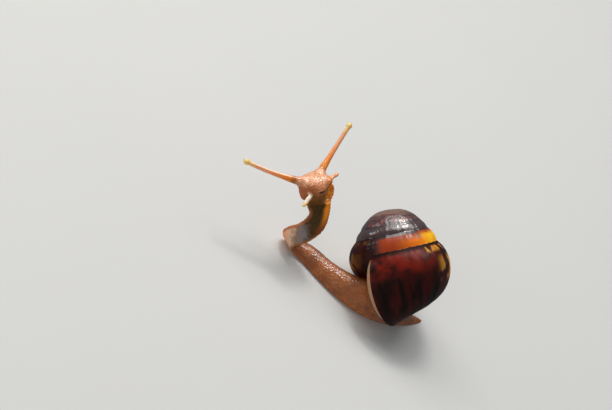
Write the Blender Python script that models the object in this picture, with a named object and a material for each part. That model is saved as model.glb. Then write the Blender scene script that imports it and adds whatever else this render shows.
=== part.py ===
"""Giant African land snail, life size, as a still model with its forebody raised.

Lengths are in millimetres until a mesh is made. +X runs along the floor from the
head towards the shell, +Y goes back, away from the side that the head faces, and
+Z is up, with the floor at Z = 0. The body is one loft along a bent path, cut into
lengths. The head is one radial surface in its own axes, and the shell is the
envelope of its own coiled whorls. Pieces that meet keep a small gap.
"""

import math

import bmesh
import bpy
import numpy as np

MM = 0.001
GAP = 0.3
# How much further than the gap a cutter's sharp edge may move.
SHARPEST = 1.6

# The middle of the whole snail's outline on the floor, which is the model's origin.
ORIGIN = (17.9, 3.0, 0.0)

# Body stations from tail to head: x, y, z of the middle of the sole, half width, height.
BODY_STATIONS = (
    (77.5, 22.0, 0.0, 0.7, 0.9),
    (72.0, 15.5, 0.0, 3.4, 3.2),
    (64.8, 8.0, 0.0, 6.0, 6.4),
    (56.5, 0.6, 0.0, 7.6, 12.5),
    (46.8, -4.6, 0.0, 8.0, 15.5),
    (35.0, -6.2, 0.0, 7.6, 11.5),
    (23.5, -5.0, 0.0, 7.0, 8.4),
    (12.5, -3.0, 0.0, 6.4, 7.2),
    (4.2, -3.9, 0.1, 5.7, 6.2),
    (-1.2, -7.0, 2.4, 5.3, 6.2),
    (-1.2, -10.8, 8.0, 5.2, 6.6),
    (2.4, -12.2, 15.2, 5.2, 7.6),
    (4.2, -11.8, 22.6, 5.2, 8.2),
    (2.8, -11.5, 29.1, 4.9, 8.0),
    (-0.9, -11.0, 33.8, 6.4, 7.6),
    (-3.5, -10.7, 37.3, 8.2, 8.0),
    (-5.8, -10.2, 40.4, 8.3, 7.0),
    (-8.0, -9.6, 43.4, 5.6, 4.6),
)
STATION_STEPS = 24
SOLE_SHARE = 0.86
RIM_SHARE = 0.24
SIDE_PINCH = 0.07
# How far the sole turns sideways: station, degrees.
TWISTS = ((7.0, 0.0), (11.0, 30.0), (16.0, 72.0))
RING_POINTS = 28
RING_SPACING = 1.9

# The front edge of the foot: station, swell below the sole, step back above it.
FOOT_EDGE_STATION = 13.9
FOOT_EDGE_SWELL = 0.8
FOOT_EDGE_REACH = 1.7
FOOT_EDGE_STEP = 1.5

# Lengths of the body, by the stations where they start and end.
LENGTHS = (
    ("tail", 0.0, 2.0),
    ("foot_rear", 2.0, 3.2),
    ("foot_middle", 3.2, 5.2),
    ("foot_front", 5.2, 8.3),
    ("neck_lower", 8.3, 11.4),
    ("neck_upper", 11.4, 17.0),
)

# Head axes: forward to the mouth, up through the crown, and to the animal's right.
HEAD_CENTRE = (-10.8, -10.0, 39.6)
HEAD_FORWARD = (0.654, -0.495, 0.572)
HEAD_UP = (-0.676, -0.042, 0.735)
HEAD_RADII = (5.8, 4.2, 7.2)
HEAD_BACK_RADIUS = 5.8
# Swellings: right, up, forward direction, height, spread in degrees.
HEAD_SWELLINGS = (
    (0.92, 0.38, -0.08, 3.0, 24.0),
    (-0.92, 0.38, -0.08, 3.0, 24.0),
    (0.0, -0.75, 0.66, 3.7, 24.0),
    (0.0, -0.28, 0.96, 1.9, 22.0),
    (0.47, -0.21, 0.86, 1.3, 15.0),
    (-0.63, -0.05, 0.78, 1.3, 15.0),
    (0.88, -0.42, -0.2, 1.4, 26.0),
    (-0.88, -0.42, -0.2, 2.6, 26.0),
    (0.0, -0.55, -0.83, 2.4, 30.0),
    (0.26, -0.56, 0.79, 0.9, 12.0),
    (-0.26, -0.56, 0.79, 0.9, 12.0),
    (0.8, -0.15, 0.55, 1.8, 26.0),
    (-0.8, -0.15, 0.55, 4.0, 26.0),
    (0.6, -0.8, 0.0, 4.5, 26.0),
)
MOUTH_UP = -0.4
MOUTH_HALF_WIDTH = 0.24
MOUTH_HALF_HEIGHT = 0.06
MOUTH_DEPTH = 1.1
HEAD_RINGS = 30
HEAD_SPOKES = 44

# Upper tentacles, which carry the eyes: root in the head's axes, then the tip.
EYE_STALKS = {
    "right": ((5.2, 1.6, 0.0), (-41.9, -28.0, 34.8)),
    "left": ((-5.2, 1.6, 0.0), (-14.4, 17.7, 63.6)),
}
STALK_ROOT_RADIUS = 3.0
STALK_RADIUS = 1.05
STALK_FLARE = 0.2
STALK_BULB_RADIUS = 1.5
STALK_BULB_LENGTH = 3.2
STALK_SAG = 0.9
STALK_SPLIT = 0.55
TENTACLE_SIDES = 12
STALK_STEPS = 16
BULB_STEPS = 8
EYE_RADIUS = 0.75
EYE_SUNK = 0.5

# Lower tentacles: root in the head's axes, then the tip.
FEELERS = {
    "right": ((1.9, -1.6, 5.0), (-6.0, -23.6, 33.8)),
    "left": ((-5.0, -0.6, 5.0), (-3.2, -1.5, 48.0)),
}
FEELER_ROOT_RADIUS = 2.2
FEELER_RADIUS = 1.0
FEELER_FLARE = 0.3
FEELER_BULB_RADIUS = 1.12
FEELER_BULB_LENGTH = 2.0
FEELER_SAG = 0.2
FEELER_STEPS = 8

# Shell: oval whorl sections on a spiral, measured from the apex down its axis.
SHELL_APEX = (28.0, 20.2, 39.3)
SHELL_AXIS = (-0.737, 0.362, 0.571)
LIP_FACES = (-0.56, 0.148, -0.816)
WHORL_RATIO = 1.62
WHORL_COUNT = 6
WHORL_OFFSET = 13.9
WHORL_DOWN = 38.3
WHORL_HALF_WIDTH = 14.15
WHORL_HALF_LENGTH = 19.45
WHORL_LEAN = 14.1
RADIAL_POWER = 0.433
AXIAL_POWER = 1.203
SUTURE_FLOOR = 0.894
COLUMELLA_DOWN = 36.0
COLUMELLA_RADIUS = 5.9
COLUMELLA_HALF_LENGTH = 14.4
SHELL_POLE = 32.6
SHELL_TURN_STEPS = 48
SHELL_RINGS = 40

# Mantle: the thick collar of flesh that fills the mouth of the shell.
MANTLE_SHARE = 0.92
MANTLE_DEPTH = 6.0
MANTLE_SQUARENESS = 0.7
MANTLE_SIDES = 28
MANTLE_RINGS = 14

FLESH = (0.62, 0.27, 0.10)
FLESH_PALE = (0.80, 0.52, 0.28)
FLESH_OLIVE = (0.36, 0.17, 0.08)
SHELL_BROWN = (0.10, 0.025, 0.012)
EYE_BROWN = (0.05, 0.03, 0.02)
FLESH_ROUGHNESS = 0.42
SHELL_ROUGHNESS = 0.18


def unit(vector):
    """A vector, or each row of vectors, at length one."""
    vector = np.asarray(vector, float)
    return vector / np.linalg.norm(vector, axis=-1, keepdims=True)


def catmull_rom(rows, steps):
    """A smooth curve through every row, with this many steps between rows."""
    rows = np.asarray(rows, float)
    ends = np.vstack([2 * rows[0] - rows[1], rows, 2 * rows[-1] - rows[-2]])
    t = np.linspace(0, 1, steps, endpoint=False)[:, None]
    pieces = []
    for a, b, c, d in zip(ends[:-3], ends[1:-2], ends[2:-1], ends[3:]):
        pieces.append(
            b
            + 0.5 * t * (c - a)
            + t**2 * (a - 2.5 * b + 2 * c - 0.5 * d)
            + t**3 * (1.5 * (b - c) + 0.5 * (d - a))
        )
    return np.vstack(pieces + [rows[-1:]])


def turning_frames(points, first_up):
    """Tangents, ups and rights along a path, turned no more than the path turns."""
    tangents = unit(np.gradient(points, axis=0))
    ups = [unit(first_up - np.dot(first_up, tangents[0]) * tangents[0])]
    for tangent in tangents[1:]:
        ups.append(unit(ups[-1] - np.dot(ups[-1], tangent) * tangent))
    ups = np.array(ups)
    return tangents, ups, np.cross(tangents, ups)


def smooth_step(share):
    """Runs smoothly from 0 to 1 as the share does."""
    share = np.clip(share, 0, 1)
    return share**2 * (3 - 2 * share)


class BodyPath:
    """The bent path of the body, read by distance from the tail tip."""

    def __init__(self):
        rows = catmull_rom(BODY_STATIONS, STATION_STEPS)
        rows[:, 2] = np.maximum(rows[:, 2], 0)
        self.points = rows[:, :3]
        self.sizes = rows[:, 3:]
        steps = np.linalg.norm(np.diff(self.points, axis=0), axis=1)
        self.distances = np.concatenate([[0], np.cumsum(steps)])
        _, self.ups, self.rights = turning_frames(self.points, np.array([0.0, 0.0, 1.0]))

    def station(self, number):
        """Distance from the tail tip to a station, which may lie between two."""
        return self.distances[round(number * STATION_STEPS)]

    def read(self, distance, values):
        """The row of values at a distance."""
        return np.array([np.interp(distance, self.distances, column) for column in values.T])

    def ring(self, distance):
        """One closed ring of the body."""
        half, height = self.read(distance, self.sizes)
        up = unit(self.read(distance, self.ups))
        right = unit(self.read(distance, self.rights))
        places = [self.station(number) for number, _ in TWISTS]
        twist = math.radians(np.interp(distance, places, [degrees for _, degrees in TWISTS]))
        turned_up = math.cos(twist) * up + math.sin(twist) * right
        turned_right = math.cos(twist) * right - math.sin(twist) * up
        past_edge = distance - self.station(FOOT_EDGE_STATION)
        swell = FOOT_EDGE_SWELL * math.exp(-((past_edge / FOOT_EDGE_REACH) ** 2))
        step = FOOT_EDGE_STEP * smooth_step(past_edge / FOOT_EDGE_REACH)
        across, rise = body_outline(half, height, step - swell)
        points = self.read(distance, self.points) + across[:, None] * turned_right
        points = points + rise[:, None] * turned_up
        points[:, 2] = np.maximum(points[:, 2], 0)
        return points


def body_outline(half, height, sole_rise):
    """Across and rise of a section: flat sole, round rims, then a dome with pinched sides."""
    flat = RING_POINTS // 5
    flat_half = SOLE_SHARE * half
    edge = half - flat_half
    rim = RIM_SHARE * height
    turn = np.radians(np.linspace(-90, 270, RING_POINTS - flat, endpoint=False))
    side = np.sign(np.cos(turn) + 1e-9)
    dome = np.sin(turn) >= 0
    pinch = 1 - SIDE_PINCH * np.abs(np.sin(2 * turn))
    across = np.where(dome, half * np.cos(turn) * pinch, side * flat_half + edge * np.cos(turn))
    rise = np.where(dome, rim + (height - rim) * np.sin(turn), rim * (1 + np.sin(turn)))
    sole = np.linspace(-flat_half, flat_half, flat, endpoint=False)
    across = np.concatenate([sole, across])
    rise = np.concatenate([np.zeros(flat), rise])
    return across, np.where(rise < 1e-6, sole_rise, np.maximum(rise, sole_rise))


def material(name, colour, roughness):
    """A Principled material of one colour."""
    made = bpy.data.materials.new(name)
    made.use_nodes = True
    shader = made.node_tree.nodes["Principled BSDF"]
    shader.inputs["Base Color"].default_value = (*colour, 1)
    shader.inputs["Roughness"].default_value = roughness
    shader.inputs["Metallic"].default_value = 0
    return made


def add_piece(name, points, faces, colour, roughness=FLESH_ROUGHNESS):
    """A smooth-shaded object from points in millimetres."""
    mesh = bpy.data.meshes.new(name)
    placed = (np.asarray(points) - np.asarray(ORIGIN)) * MM
    mesh.from_pydata(placed.tolist(), [], faces)
    work = bmesh.new()
    work.from_mesh(mesh)
    bmesh.ops.remove_doubles(work, verts=work.verts, dist=1e-6)
    bmesh.ops.recalc_face_normals(work, faces=work.faces)
    work.to_mesh(mesh)
    work.free()
    mesh.shade_smooth()
    piece = bpy.data.objects.new(name, mesh)
    bpy.context.scene.collection.objects.link(piece)
    mesh.materials.append(material(name, colour, roughness))
    return piece


def add_tube(name, rings, start, end, colour, roughness=FLESH_ROUGHNESS):
    """A closed object from stacked rings, with a fan from each end point."""
    sides = len(rings[0])
    last = (len(rings) - 1) * sides
    tip = len(rings) * sides
    faces = []
    for j in range(sides):
        k = (j + 1) % sides
        for row in range(0, last, sides):
            faces.append((row + j, row + k, row + sides + k, row + sides + j))
        faces.append((tip, k, j))
        faces.append((tip + 1, last + j, last + k))
    points = np.vstack([np.vstack(rings), [start], [end]])
    return add_piece(name, points, faces, colour, roughness)


def clearance(piece):
    """A cutter in a piece's shape, swollen by the gap, with sharp edges held back."""
    mesh = piece.data.copy()
    work = bmesh.new()
    work.from_mesh(mesh)
    for vert in work.verts:
        vert.normal_update()
    moves = [min(vert.calc_shell_factor(), SHARPEST) * GAP * MM * vert.normal for vert in work.verts]
    for vert, move in zip(work.verts, moves):
        vert.co += move
    work.to_mesh(mesh)
    work.free()
    cutter = bpy.data.objects.new("clear_of_" + piece.name, mesh)
    bpy.context.scene.collection.objects.link(cutter)
    cutter.hide_render = True
    cutter.display_type = "WIRE"
    return cutter


def body_piece(path, name, first, last, colour):
    """One length of the body between two distances along the path."""
    count = max(3, round((last - first) / RING_SPACING) + 1)
    rings = [path.ring(distance) for distance in np.linspace(first, last, count)]
    return add_tube(name, rings, rings[0].mean(axis=0), rings[-1].mean(axis=0), colour)


def head_place(local):
    """Points in the head's own axes, as right, up and forward, placed in the model."""
    forward = unit(HEAD_FORWARD)
    up = unit(np.asarray(HEAD_UP) - np.dot(HEAD_UP, forward) * forward)
    return np.asarray(HEAD_CENTRE) + np.asarray(local) @ np.array([np.cross(forward, up), up, forward])


def head_reach(directions):
    """Distance from the head's centre to its skin: an oval, swellings and the mouth's slit."""
    right, up, forward = HEAD_RADII
    length = np.where(directions[..., 2] > 0, forward, HEAD_BACK_RADIUS)
    radii = np.stack([np.full_like(length, right), np.full_like(length, up), length], axis=-1)
    reach = 1 / np.linalg.norm(directions / radii, axis=-1)
    for right, up, forward, height, spread in HEAD_SWELLINGS:
        nearness = np.clip(directions @ unit((right, up, forward)), -1, 1)
        reach = reach + height * np.exp(-((np.degrees(np.arccos(nearness)) / spread) ** 2))
    across = (directions[..., 0] / MOUTH_HALF_WIDTH) ** 4
    above = ((directions[..., 1] - MOUTH_UP) / MOUTH_HALF_HEIGHT) ** 2
    return reach - MOUTH_DEPTH * np.exp(-across - above) * (directions[..., 2] > 0)


def head_piece(name, colour):
    """The head, with rings that close on its front and back poles."""
    spoke = np.linspace(0, 2 * math.pi, HEAD_SPOKES, endpoint=False)
    polar = math.pi * np.linspace(0, 1, HEAD_RINGS + 1) ** 1.15
    rings = []
    for angle in polar:
        wide = math.sin(angle)
        forward = np.full_like(spoke, math.cos(angle))
        ring = np.stack([wide * np.cos(spoke), wide * np.sin(spoke), forward], axis=-1)
        rings.append(head_place(ring * head_reach(ring)[:, None]))
    return add_tube(name, rings[1:-1], rings[0][0], rings[-1][0], colour)


def tentacle_rings(root, tip, sag, radii, bulb, steps):
    """Rings along a gently bowed line: a flared root, a slender stem and a round bulb."""
    root_radius, stem_radius, flare = radii
    bulb_radius, bulb_length = bulb
    length = np.linalg.norm(tip - root)
    bulb_share = bulb_length / length
    stem = np.linspace(0, 1 - bulb_share, steps, endpoint=False)
    turn = np.linspace(0, math.pi, BULB_STEPS + 1)[:-1]
    share = np.concatenate([stem, 1 - bulb_share * (1 + np.cos(turn)) / 2])
    thickness = stem_radius + (root_radius - stem_radius) * np.exp(-share / flare)
    round_end = np.concatenate([np.zeros_like(stem), bulb_radius * np.sin(turn)])
    past_middle = np.concatenate([np.zeros_like(stem), turn > math.pi / 2])
    thickness = np.where(past_middle > 0, round_end, np.maximum(thickness, round_end))
    line = root + (tip - root) * share[:, None]
    line[:, 2] -= sag * np.sin(math.pi * share)
    _, ups, rights = turning_frames(line, np.array([0.2, -0.9, 0.4]))
    around = np.linspace(0, 2 * math.pi, TENTACLE_SIDES, endpoint=False)[None, :, None]
    circle = np.cos(around) * rights[:, None] + np.sin(around) * ups[:, None]
    return line[:, None] + circle * thickness[:, None, None], line


def shell_axes():
    """Rows: from the axis to the lip, the way the lip faces, and from apex to base."""
    down = -unit(SHELL_AXIS)
    faces = unit(np.asarray(LIP_FACES) - np.dot(LIP_FACES, down) * down)
    return np.array([np.cross(faces, down), faces, down])


def oval_reach(angle, centre_out, centre_down, half_width, half_length, lean):
    """Distance from the pole on the axis to the far side of an oval, for each angle."""
    cos_lean = math.cos(lean)
    sin_lean = math.sin(lean)

    def in_oval(out, down):
        wide = (out * cos_lean + down * sin_lean) / half_width
        return wide, (down * cos_lean - out * sin_lean) / half_length

    step_wide, step_long = in_oval(np.sin(angle), -np.cos(angle))
    from_wide, from_long = in_oval(-centre_out, SHELL_POLE - centre_down)
    a = step_wide**2 + step_long**2
    b = from_wide * step_wide + from_long * step_long
    inside = b**2 - a * (from_wide**2 + from_long**2 - 1)
    reach = (np.sqrt(np.maximum(inside, 0)) - b) / a
    return np.where((inside > 0) & (reach > 0), reach, 0)


def widest_place():
    """How far out from the axis the last whorl reaches, and how far down that is."""
    lean = math.radians(WHORL_LEAN)
    past_centre = math.hypot(WHORL_HALF_WIDTH * math.cos(lean), WHORL_HALF_LENGTH * math.sin(lean))
    length_over_width = WHORL_HALF_LENGTH**2 - WHORL_HALF_WIDTH**2
    raised = length_over_width * math.sin(lean) * math.cos(lean) / past_centre
    return WHORL_OFFSET + past_centre, WHORL_DOWN - raised


def suture_reach(turned_back, angle):
    """Distance to a smooth dome just under the whorls, which keeps the sutures shallow."""
    widest_out, widest_down = widest_place()
    down = np.linspace(0, SHELL_POLE, 200)
    out = SUTURE_FLOOR * widest_out * (down / widest_down) ** (RADIAL_POWER / AXIAL_POWER)
    dome_angle = np.arctan2(out, SHELL_POLE - down)
    reach = np.interp(angle, dome_angle, np.hypot(out, SHELL_POLE - down))
    whorl_down = widest_down * WHORL_RATIO ** (-AXIAL_POWER * turned_back / (2 * math.pi))
    above = SHELL_POLE - reach * np.cos(angle) < whorl_down
    return np.where(above & (angle < math.pi / 2), reach, 0)


def shell_reach(turned_back, angle):
    """Distance from the pole to the shell's face, some turn back from the lip."""
    reach = oval_reach(angle, 0.0, COLUMELLA_DOWN, COLUMELLA_RADIUS, COLUMELLA_HALF_LENGTH, 0.0)
    reach = np.maximum(reach, suture_reach(turned_back, angle))
    for whorl in range(WHORL_COUNT):
        scale = WHORL_RATIO ** -(turned_back / (2 * math.pi) + whorl)
        wide = scale**RADIAL_POWER
        long = scale**AXIAL_POWER
        oval = oval_reach(
            angle,
            WHORL_OFFSET * wide,
            WHORL_DOWN * long,
            WHORL_HALF_WIDTH * wide,
            WHORL_HALF_LENGTH * long,
            math.radians(WHORL_LEAN),
        )
        reach = np.maximum(reach, oval)
    return reach


def shell_place(turned_back, out, down):
    """Points some turn back from the lip, out from the axis and down from the apex."""
    lip, faces, base = shell_axes()
    around = np.cos(turned_back)[..., None] * lip - np.sin(turned_back)[..., None] * faces
    return np.asarray(SHELL_APEX) + out[..., None] * around + down[..., None] * base


def shell_piece(name, colour):
    """The closed shell, with a flat wall where the last whorl ends at the lip."""
    turns = np.linspace(0, 2 * math.pi, SHELL_TURN_STEPS + 1)
    angles = math.pi * np.linspace(0, 1, SHELL_RINGS + 1)
    turn, angle = np.meshgrid(turns, angles)
    reach = shell_reach(turn, angle)
    reach[[0, -1]] = reach[[0, -1]].mean(axis=1, keepdims=True)
    points = shell_place(turn, reach * np.sin(angle), SHELL_POLE - reach * np.cos(angle))
    columns = SHELL_TURN_STEPS + 1
    faces = []
    for row in range(0, SHELL_RINGS * columns, columns):
        for j in range(SHELL_TURN_STEPS):
            faces.append((row + j, row + j + 1, row + columns + j + 1, row + columns + j))
        end = row + SHELL_TURN_STEPS
        faces.append((row + columns, row, end, end + columns))
    return add_piece(name, points.reshape(-1, 3), faces, colour, SHELL_ROUGHNESS)


def mantle_piece(name, colour):
    """A domed cushion of flesh across the mouth of the shell."""
    lip, faces, base = shell_axes()
    lean = math.radians(WHORL_LEAN)
    centre = np.asarray(SHELL_APEX) + WHORL_OFFSET * lip + WHORL_DOWN * base
    wide = (math.cos(lean) * lip + math.sin(lean) * base) * WHORL_HALF_WIDTH * MANTLE_SHARE
    long = (math.cos(lean) * base - math.sin(lean) * lip) * WHORL_HALF_LENGTH * MANTLE_SHARE
    deep = faces * MANTLE_DEPTH
    around = np.linspace(0, 2 * math.pi, MANTLE_SIDES, endpoint=False)[:, None]
    rings = []
    for polar in math.pi * np.linspace(0, 1, MANTLE_RINGS + 1)[1:-1]:
        spread = math.sin(polar) ** MANTLE_SQUARENESS
        ring = centre + (np.cos(around) * wide + np.sin(around) * long) * spread
        rings.append(ring + math.cos(polar) * deep)
    return add_tube(name, rings, centre + deep, centre - deep, colour)


def eye_piece(name, centre, colour):
    """A small round eye."""
    around = np.linspace(0, 2 * math.pi, TENTACLE_SIDES, endpoint=False)
    rings = []
    for polar in np.linspace(0, math.pi, BULB_STEPS + 1)[1:-1]:
        circle = math.sin(polar) * np.array([np.cos(around), np.sin(around)])
        level = np.full((1, TENTACLE_SIDES), math.cos(polar))
        rings.append(centre + EYE_RADIUS * np.vstack([circle, level]).T)
    pole = np.array([0.0, 0.0, EYE_RADIUS])
    return add_tube(name, rings, centre + pole, centre - pole, colour, SHELL_ROUGHNESS)


def keep_largest(mesh):
    """Leaves only the closed surface that encloses the most."""
    work = bmesh.new()
    work.from_mesh(mesh)
    left = set(work.faces)
    bodies = []
    while left:
        body = [left.pop()]
        for face in body:
            for edge in face.edges:
                near = left.intersection(edge.link_faces)
                left -= near
                body.extend(near)
        # Each face adds the volume of the cone from the origin to it.
        volume = sum(face.calc_area() * face.normal.dot(face.calc_center_median()) for face in body)
        bodies.append((abs(volume), body))
    bodies.sort(key=lambda pair: pair[0])
    for _, body in bodies[:-1]:
        bmesh.ops.delete(work, geom=body, context="FACES")
    loose = [vert for vert in work.verts if not vert.link_faces]
    bmesh.ops.delete(work, geom=loose, context="VERTS")
    work.to_mesh(mesh)
    work.free()
    mesh.shade_smooth()


def cut_away(piece, cutters):
    """Removes the cutters' space from a piece and applies the result."""
    for cutter in cutters:
        cut = piece.modifiers.new(cutter.name, "BOOLEAN")
        cut.operation = "DIFFERENCE"
        cut.solver = "EXACT"
        cut.use_self = True
        cut.object = cutter
    bpy.context.view_layer.update()
    graph = bpy.context.evaluated_depsgraph_get()
    mesh = bpy.data.meshes.new_from_object(piece.evaluated_get(graph), depsgraph=graph)
    piece.modifiers.clear()
    piece.data = mesh
    keep_largest(mesh)


def build_body(near_shell, near_mantle, near_head):
    """The foot, tail and neck, each a length of the one loft."""
    path = BodyPath()
    for name, first, last in LENGTHS:
        begin = path.station(first) + GAP / 2
        end = path.station(last) - GAP / 2
        piece = body_piece(path, name, begin, end, FLESH_OLIVE if "neck" in name else FLESH)
        if name.startswith("foot"):
            cut_away(piece, [near_shell, near_mantle])
        if name == "neck_upper":
            cut_away(piece, [near_head])


def build_eye_stalks(near_head):
    """Each upper tentacle in two lengths, with its eye at the tip."""
    radii = (STALK_ROOT_RADIUS, STALK_RADIUS, STALK_FLARE)
    bulb = (STALK_BULB_RADIUS, STALK_BULB_LENGTH)
    for side, (root, tip) in EYE_STALKS.items():
        tip = np.array(tip)
        rings, line = tentacle_rings(head_place(root), tip, STALK_SAG, radii, bulb, STALK_STEPS)
        split = round(STALK_SPLIT * len(line))
        stem = add_tube(f"eye_stalk_{side}_root", rings[: split + 1], line[0], line[split], FLESH)
        cut_away(stem, [near_head])
        step = unit(line[split + 1] - line[split]) * GAP
        upper = np.concatenate([rings[split : split + 1] + step, rings[split + 1 :]])
        end = add_tube(f"eye_stalk_{side}_end", upper, line[split] + step, tip, FLESH_PALE)
        eye = eye_piece(f"eye_{side}", tip - EYE_SUNK * unit(tip - line[-2]), EYE_BROWN)
        cut_away(end, [clearance(eye)])


def build_feelers(near_head):
    """The two lower tentacles beside the mouth."""
    radii = (FEELER_ROOT_RADIUS, FEELER_RADIUS, FEELER_FLARE)
    bulb = (FEELER_BULB_RADIUS, FEELER_BULB_LENGTH)
    for side, (root, tip) in FEELERS.items():
        tip = np.array(tip)
        rings, line = tentacle_rings(head_place(root), tip, FEELER_SAG, radii, bulb, FEELER_STEPS)
        feeler = add_tube(f"lower_tentacle_{side}", rings, line[0], tip, FLESH_PALE)
        cut_away(feeler, [near_head])


def main():
    for thing in list(bpy.data.objects):
        bpy.data.objects.remove(thing)
    near_shell = clearance(shell_piece("shell", SHELL_BROWN))
    mantle = mantle_piece("mantle_collar", FLESH_PALE)
    near_mantle = clearance(mantle)
    cut_away(mantle, [near_shell])
    near_head = clearance(head_piece("head", FLESH))
    build_body(near_shell, near_mantle, near_head)
    build_eye_stalks(near_head)
    build_feelers(near_head)


main()
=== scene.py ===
"""Giant African land snail, life size, as a still model in one skin.

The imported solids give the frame. The body, head, tentacles and mantle are worked out
again here from their own sizes in millimetres, fused into one closed skin and given
their grain. A finely modelled shell and two eyes go over their solids. X runs from
the head towards the shell, Y goes back and Z up, with the floor at Z = 0.
"""

import itertools
import logging
import math
from dataclasses import dataclass
from enum import Enum
from typing import NamedTuple

import bmesh
import bpy
import numpy as np
from mathutils import Matrix, Vector


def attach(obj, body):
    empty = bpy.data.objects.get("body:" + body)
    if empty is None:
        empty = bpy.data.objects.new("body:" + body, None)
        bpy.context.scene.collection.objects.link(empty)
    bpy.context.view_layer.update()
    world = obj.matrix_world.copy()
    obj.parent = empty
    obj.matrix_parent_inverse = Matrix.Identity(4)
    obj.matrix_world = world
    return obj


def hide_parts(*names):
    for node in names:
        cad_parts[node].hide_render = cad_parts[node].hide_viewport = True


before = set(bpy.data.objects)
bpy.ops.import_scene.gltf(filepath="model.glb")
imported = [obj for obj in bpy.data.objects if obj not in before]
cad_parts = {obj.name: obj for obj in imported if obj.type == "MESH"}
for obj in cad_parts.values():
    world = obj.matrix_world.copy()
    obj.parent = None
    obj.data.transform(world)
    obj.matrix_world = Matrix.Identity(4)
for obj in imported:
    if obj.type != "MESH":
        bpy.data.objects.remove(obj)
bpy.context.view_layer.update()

Array = np.ndarray
Triple = tuple[float, float, float]
Pair = tuple[float, float]
Arrays = tuple[Array, Array]
Marks = dict[str, Array]

MM = 0.001
# The model's origin in the millimetres that every size below is given in.
ORIGIN = np.array((17.9, 3.0, 0.0))
# The ways that the right and the left eye look.
EYES_LOOK = ((-0.7, 0.5, 0.8), (-0.2, 0.9, 0.6))
# Sockets of the colour Mix node, whose names repeat.
MIX_FACTOR, MIX_FIRST, MIX_SECOND, MIX_RESULT = 0, 6, 7, 2

log = logging.getLogger("snail")


def unit(vectors: Array) -> Array:
    """Gives a vector, or each row of vectors, at length one."""
    vectors = np.asarray(vectors, float)
    return vectors / np.linalg.norm(vectors, axis=-1, keepdims=True)


def smooth_step(low: float, high: float, value: Array) -> Array:
    """Runs smoothly from 0 to 1 as a value goes from low to high.

    Args:
        low: Where the result is 0, which may be above high.
        high: Where the result is 1.
        value: Numbers of any shape.

    Returns:
        Three times the square of the share less twice its cube.
    """
    share = np.clip((np.asarray(value, float) - low) / (high - low), 0, 1)
    return share**2 * (3 - 2 * share)


def hill(value: Array, centre: float, width: float) -> Array:
    """Gives a smooth hill of height 1, e to the minus square of the distance in widths."""
    return np.exp(-(((value - centre) / width) ** 2))


def catmull_rom(rows: Array, steps: int) -> Array:
    """Draws a smooth curve through every row.

    Between rows b and c, with a before and d after, the point at share t is
    b + t(c - a)/2 + t²(a - 2.5b + 2c - d/2) + t³(1.5(b - c) + (d - a)/2).

    Args:
        rows: Rows of numbers.
        steps: Points for each stretch between two rows.

    Returns:
        The rows of the curve.
    """
    rows = np.asarray(rows, float)
    ends = np.vstack([2 * rows[0] - rows[1], rows, 2 * rows[-1] - rows[-2]])[:, None]
    t = np.linspace(0, 1, steps, endpoint=False)[:, None]
    a, b, c, d = ends[:-3], ends[1:-2], ends[2:-1], ends[3:]
    slope = 0.5 * t * (c - a)
    curve = b + slope + t**2 * (a - 2.5 * b + 2 * c - 0.5 * d) + t**3 * (1.5 * (b - c) + 0.5 * (d - a))
    return np.vstack([curve.reshape(-1, rows.shape[1]), rows[-1:]])


def turning_frames(points: Array, first_up: Array) -> tuple[Array, Array, Array]:
    """Carries a frame along a path, turned no more than the path turns.

    Args:
        points: Points along the path.
        first_up: The up direction at the first point.

    Returns:
        Tangents, ups and rights, one row for each point.
    """
    tangents = unit(np.gradient(points, axis=0))
    ups = [unit(first_up - np.dot(first_up, tangents[0]) * tangents[0])]
    for tangent in tangents[1:]:
        ups.append(unit(ups[-1] - np.dot(ups[-1], tangent) * tangent))
    ups = np.array(ups)
    return tangents, ups, np.cross(tangents, ups)


def scatter(cubes: Array, seed: int) -> Array:
    """Gives three even numbers from 0 to 1 for each whole cube of space.

    The cube's coordinates, each times a large prime, are folded together with the
    seed, and the bits are mixed by shifts and products within 32 bits.

    Args:
        cubes: Whole coordinates, one row for each cube.
        seed: Another number gives another pattern.

    Returns:
        Three numbers for each row.
    """
    mask = 0xFFFFFFFF
    folded = cubes[:, 0] * 73856093 ^ cubes[:, 1] * 19349663 ^ cubes[:, 2] * 83492791
    columns = []
    for channel in range(3):
        mixed = (folded ^ (seed * 3 + channel) * 40503) & mask
        for _ in range(3):
            mixed = ((mixed >> 16) ^ mixed) * 0x45D9F3B & mask
        columns.append(mixed / mask)
    return np.stack(columns, axis=-1)


class Cells(NamedTuple):
    """A cell pattern at many points: how far the cell's wall is, and a number of its own."""

    wall: Array
    tone: Array


def cell_pattern(places: Array, seed: int) -> Cells:
    """Divides space into cells round one seed in each unit cube.

    The wall is the distance to the next nearest seed less that to the nearest, which
    is 0 on a wall. The tone is an even number of the nearest seed's own.

    Args:
        places: Points, in cells.
        seed: Another number gives another pattern.

    Returns:
        The pattern at each point.
    """
    base = np.floor(places).astype(np.int64)
    nearest = np.full(len(places), 9.0)
    second = nearest.copy()
    tone = np.zeros(len(places))
    for offset in itertools.product((-1, 0, 1), repeat=3):
        cube = base + np.array(offset)
        numbers = scatter(cube, seed)
        distance = np.linalg.norm(cube + numbers - places, axis=1)
        closer = distance < nearest
        second = np.where(closer, nearest, np.minimum(second, distance))
        tone = np.where(closer, numbers[:, 0], tone)
        nearest = np.minimum(nearest, distance)
    return Cells(second - nearest, tone)


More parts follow.
